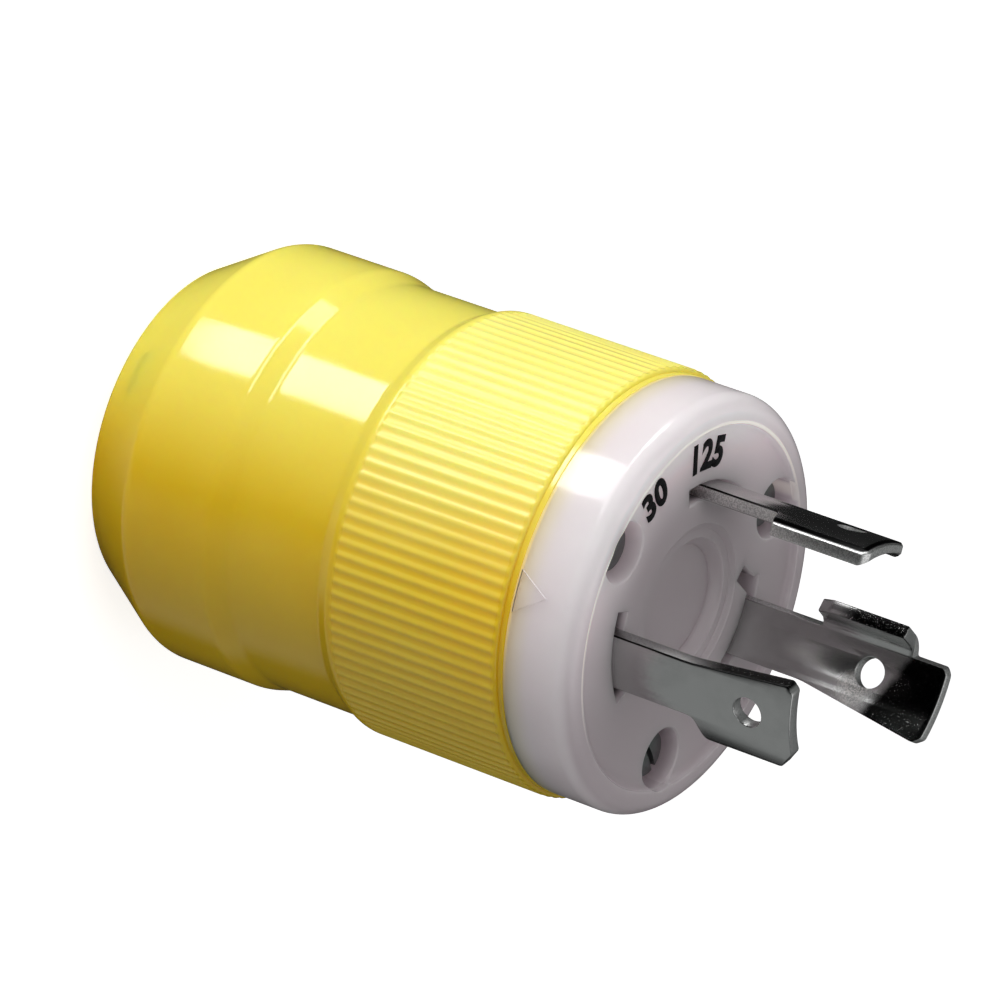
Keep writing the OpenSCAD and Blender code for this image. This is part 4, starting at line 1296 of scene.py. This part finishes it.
def white_for_view(s, dull, bright):
    """Chooses the bright shader for what the camera, gloss and glass see, and the dull one for the rest."""
    path = s.tree.nodes.new("ShaderNodeLightPath")
    seen = Sock(s, path.outputs["Is Camera Ray"]) + Sock(s, path.outputs["Is Glossy Ray"])
    seen = seen + Sock(s, path.outputs["Is Transmission Ray"])
    return s.add("ShaderNodeMixShader", None, {"Fac": seen.least(1.0), 1: dull, 2: bright})


class WorldShader(Shader):
    """Builds the world's node tree."""

    def __init__(self, world):
        world.use_nodes = True
        self.tree = world.node_tree
        self.tree.nodes.clear()


def set_world():
    """A white background that lights the plug at a plain level."""
    world = bpy.data.worlds.new("plain_studio")
    bpy.context.scene.world = world
    s = WorldShader(world)
    dull = s.add("ShaderNodeBackground", None, {"Color": WHITE, "Strength": WORLD_LEVEL})
    bright = s.add("ShaderNodeBackground", None, {"Color": WHITE, "Strength": 1.0})
    s.add("ShaderNodeOutputWorld", None, {"Surface": white_for_view(s, dull, bright)})


def floor_paper():
    """White paper that keeps a faint shadow."""
    s = Shader("floor_paper")
    paper = s.add("ShaderNodeBsdfDiffuse", None, {"Color": PAPER})
    lift = s.add("ShaderNodeEmission", None, {"Color": WHITE, "Strength": PAPER_LIFT})
    lit = s.add("ShaderNodeAddShader", None, {0: paper, 1: lift})
    s.add("ShaderNodeOutputMaterial", None, {"Surface": white_for_view(s, paper, lit)})
    return s.material


def studio_bowl():
    """The dark studio round the plug, with a grey side and a grey upper part, seen only in reflections."""
    s = Shader("studio_bowl")
    x, y, z = s.axes(s.place())
    off = x.math("ARCTAN2", y, x) - math.radians(-12)
    grey = 1 - off.math("ABSOLUTE", off).between(math.radians(32), math.radians(52))
    upper = z.between(-0.2, 0.7)
    level = grey * (1 - upper) * 0.33 + upper * 0.2 + 0.012
    emission = s.add("ShaderNodeEmission", None, {"Color": (0.97, 1.0, 0.99), "Strength": level})
    s.add("ShaderNodeOutputMaterial", None, {"Surface": emission})
    bm = bmesh.new()
    bmesh.ops.create_uvsphere(bm, u_segments=48, v_segments=32, radius=BOWL_R)
    bmesh.ops.bisect_plane(bm, geom=whole(bm), plane_co=(0, 0, BOWL_TOP), plane_no=(0, 0, 1),
                           clear_outer=True)
    piece = as_object("studio_bowl", bm)
    piece.data.materials.append(s.material)
    only_in_gloss(piece)


class PLUG_OT_stage(bpy.types.Operator):
    """Set the floor, lamps, cards and camera"""
    bl_idname = "plug.stage"
    bl_label = "Stage"

    def execute(self, context):
        scene = context.scene
        scene.view_settings.view_transform = "Standard"
        set_world()
        bm = bmesh.new()
        bmesh.ops.create_grid(bm, x_segments=1, y_segments=1, size=FLOOR_SIZE)
        floor = as_object("floor", bm)
        floor.data.materials.append(floor_paper())
        floor.visible_glossy = False
        floor.visible_shadow = False
        studio_bowl()
        for values in CARDS:
            card(*values)
        for values in LAMPS:
            lamp(*values)
        camera = bpy.data.cameras.new("camera")
        camera.lens = LENS_MM
        camera.sensor_width = SENSOR_MM
        camera.clip_end = CLIP_END
        holder = bpy.data.objects.new("camera", camera)
        turned = (Matrix.Rotation(CAMERA_TURN, 4, "Z") @ Matrix.Rotation(math.pi / 2 - CAMERA_HEIGHT, 4, "X")
                  @ Matrix.Rotation(CAMERA_ROLL, 4, "Z"))
        away = turned @ Vector((0, 0, CAMERA_DISTANCE))
        holder.matrix_world = Matrix.Translation(CAMERA_AIM + away) @ turned
        scene.collection.objects.link(holder)
        scene.camera = holder
        return {"FINISHED"}


class PLUG_PT_panel(bpy.types.Panel):
    """Lists the plug's pieces in the sidebar"""
    bl_label = "Locking Plug"
    bl_idname = "PLUG_PT_panel"
    bl_space_type = "VIEW_3D"
    bl_region_type = "UI"
    bl_category = "Plug"

    def draw(self, context):
        for operator in PIECES:
            self.layout.operator(operator.bl_idname)


# what register adds to the scene and to the sidebar
SETTINGS = {"plug_shell": ShellSizes, "plug_front": FrontSizes, "plug_blades": BladeSizes,
            "plug_colours": PlugColours}
PIECES = (PLUG_OT_shell, PLUG_OT_front, PLUG_OT_blades, PLUG_OT_face_screws, PLUG_OT_print, PLUG_OT_inside,
          PLUG_OT_stage)


def register():
    """Registers the settings, the operators and the panel."""
    for settings in SETTINGS.values():
        bpy.utils.register_class(settings)
    for name, settings in SETTINGS.items():
        setattr(bpy.types.Scene, name, bpy.props.PointerProperty(type=settings))
    for operator in PIECES:
        bpy.utils.register_class(operator)
    bpy.utils.register_class(PLUG_PT_panel)


def unregister():
    """Takes them all away again."""
    bpy.utils.unregister_class(PLUG_PT_panel)
    for operator in reversed(PIECES):
        bpy.utils.unregister_class(operator)
    for name in SETTINGS:
        delattr(bpy.types.Scene, name)
    for settings in SETTINGS.values():
        bpy.utils.unregister_class(settings)


def main():
    """Builds every piece and the stage."""
    register()
    for operator in PIECES:
        group, name = operator.bl_idname.split(".")
        getattr(getattr(bpy.ops, group), name)()


if __name__ == "__main__":
    main()
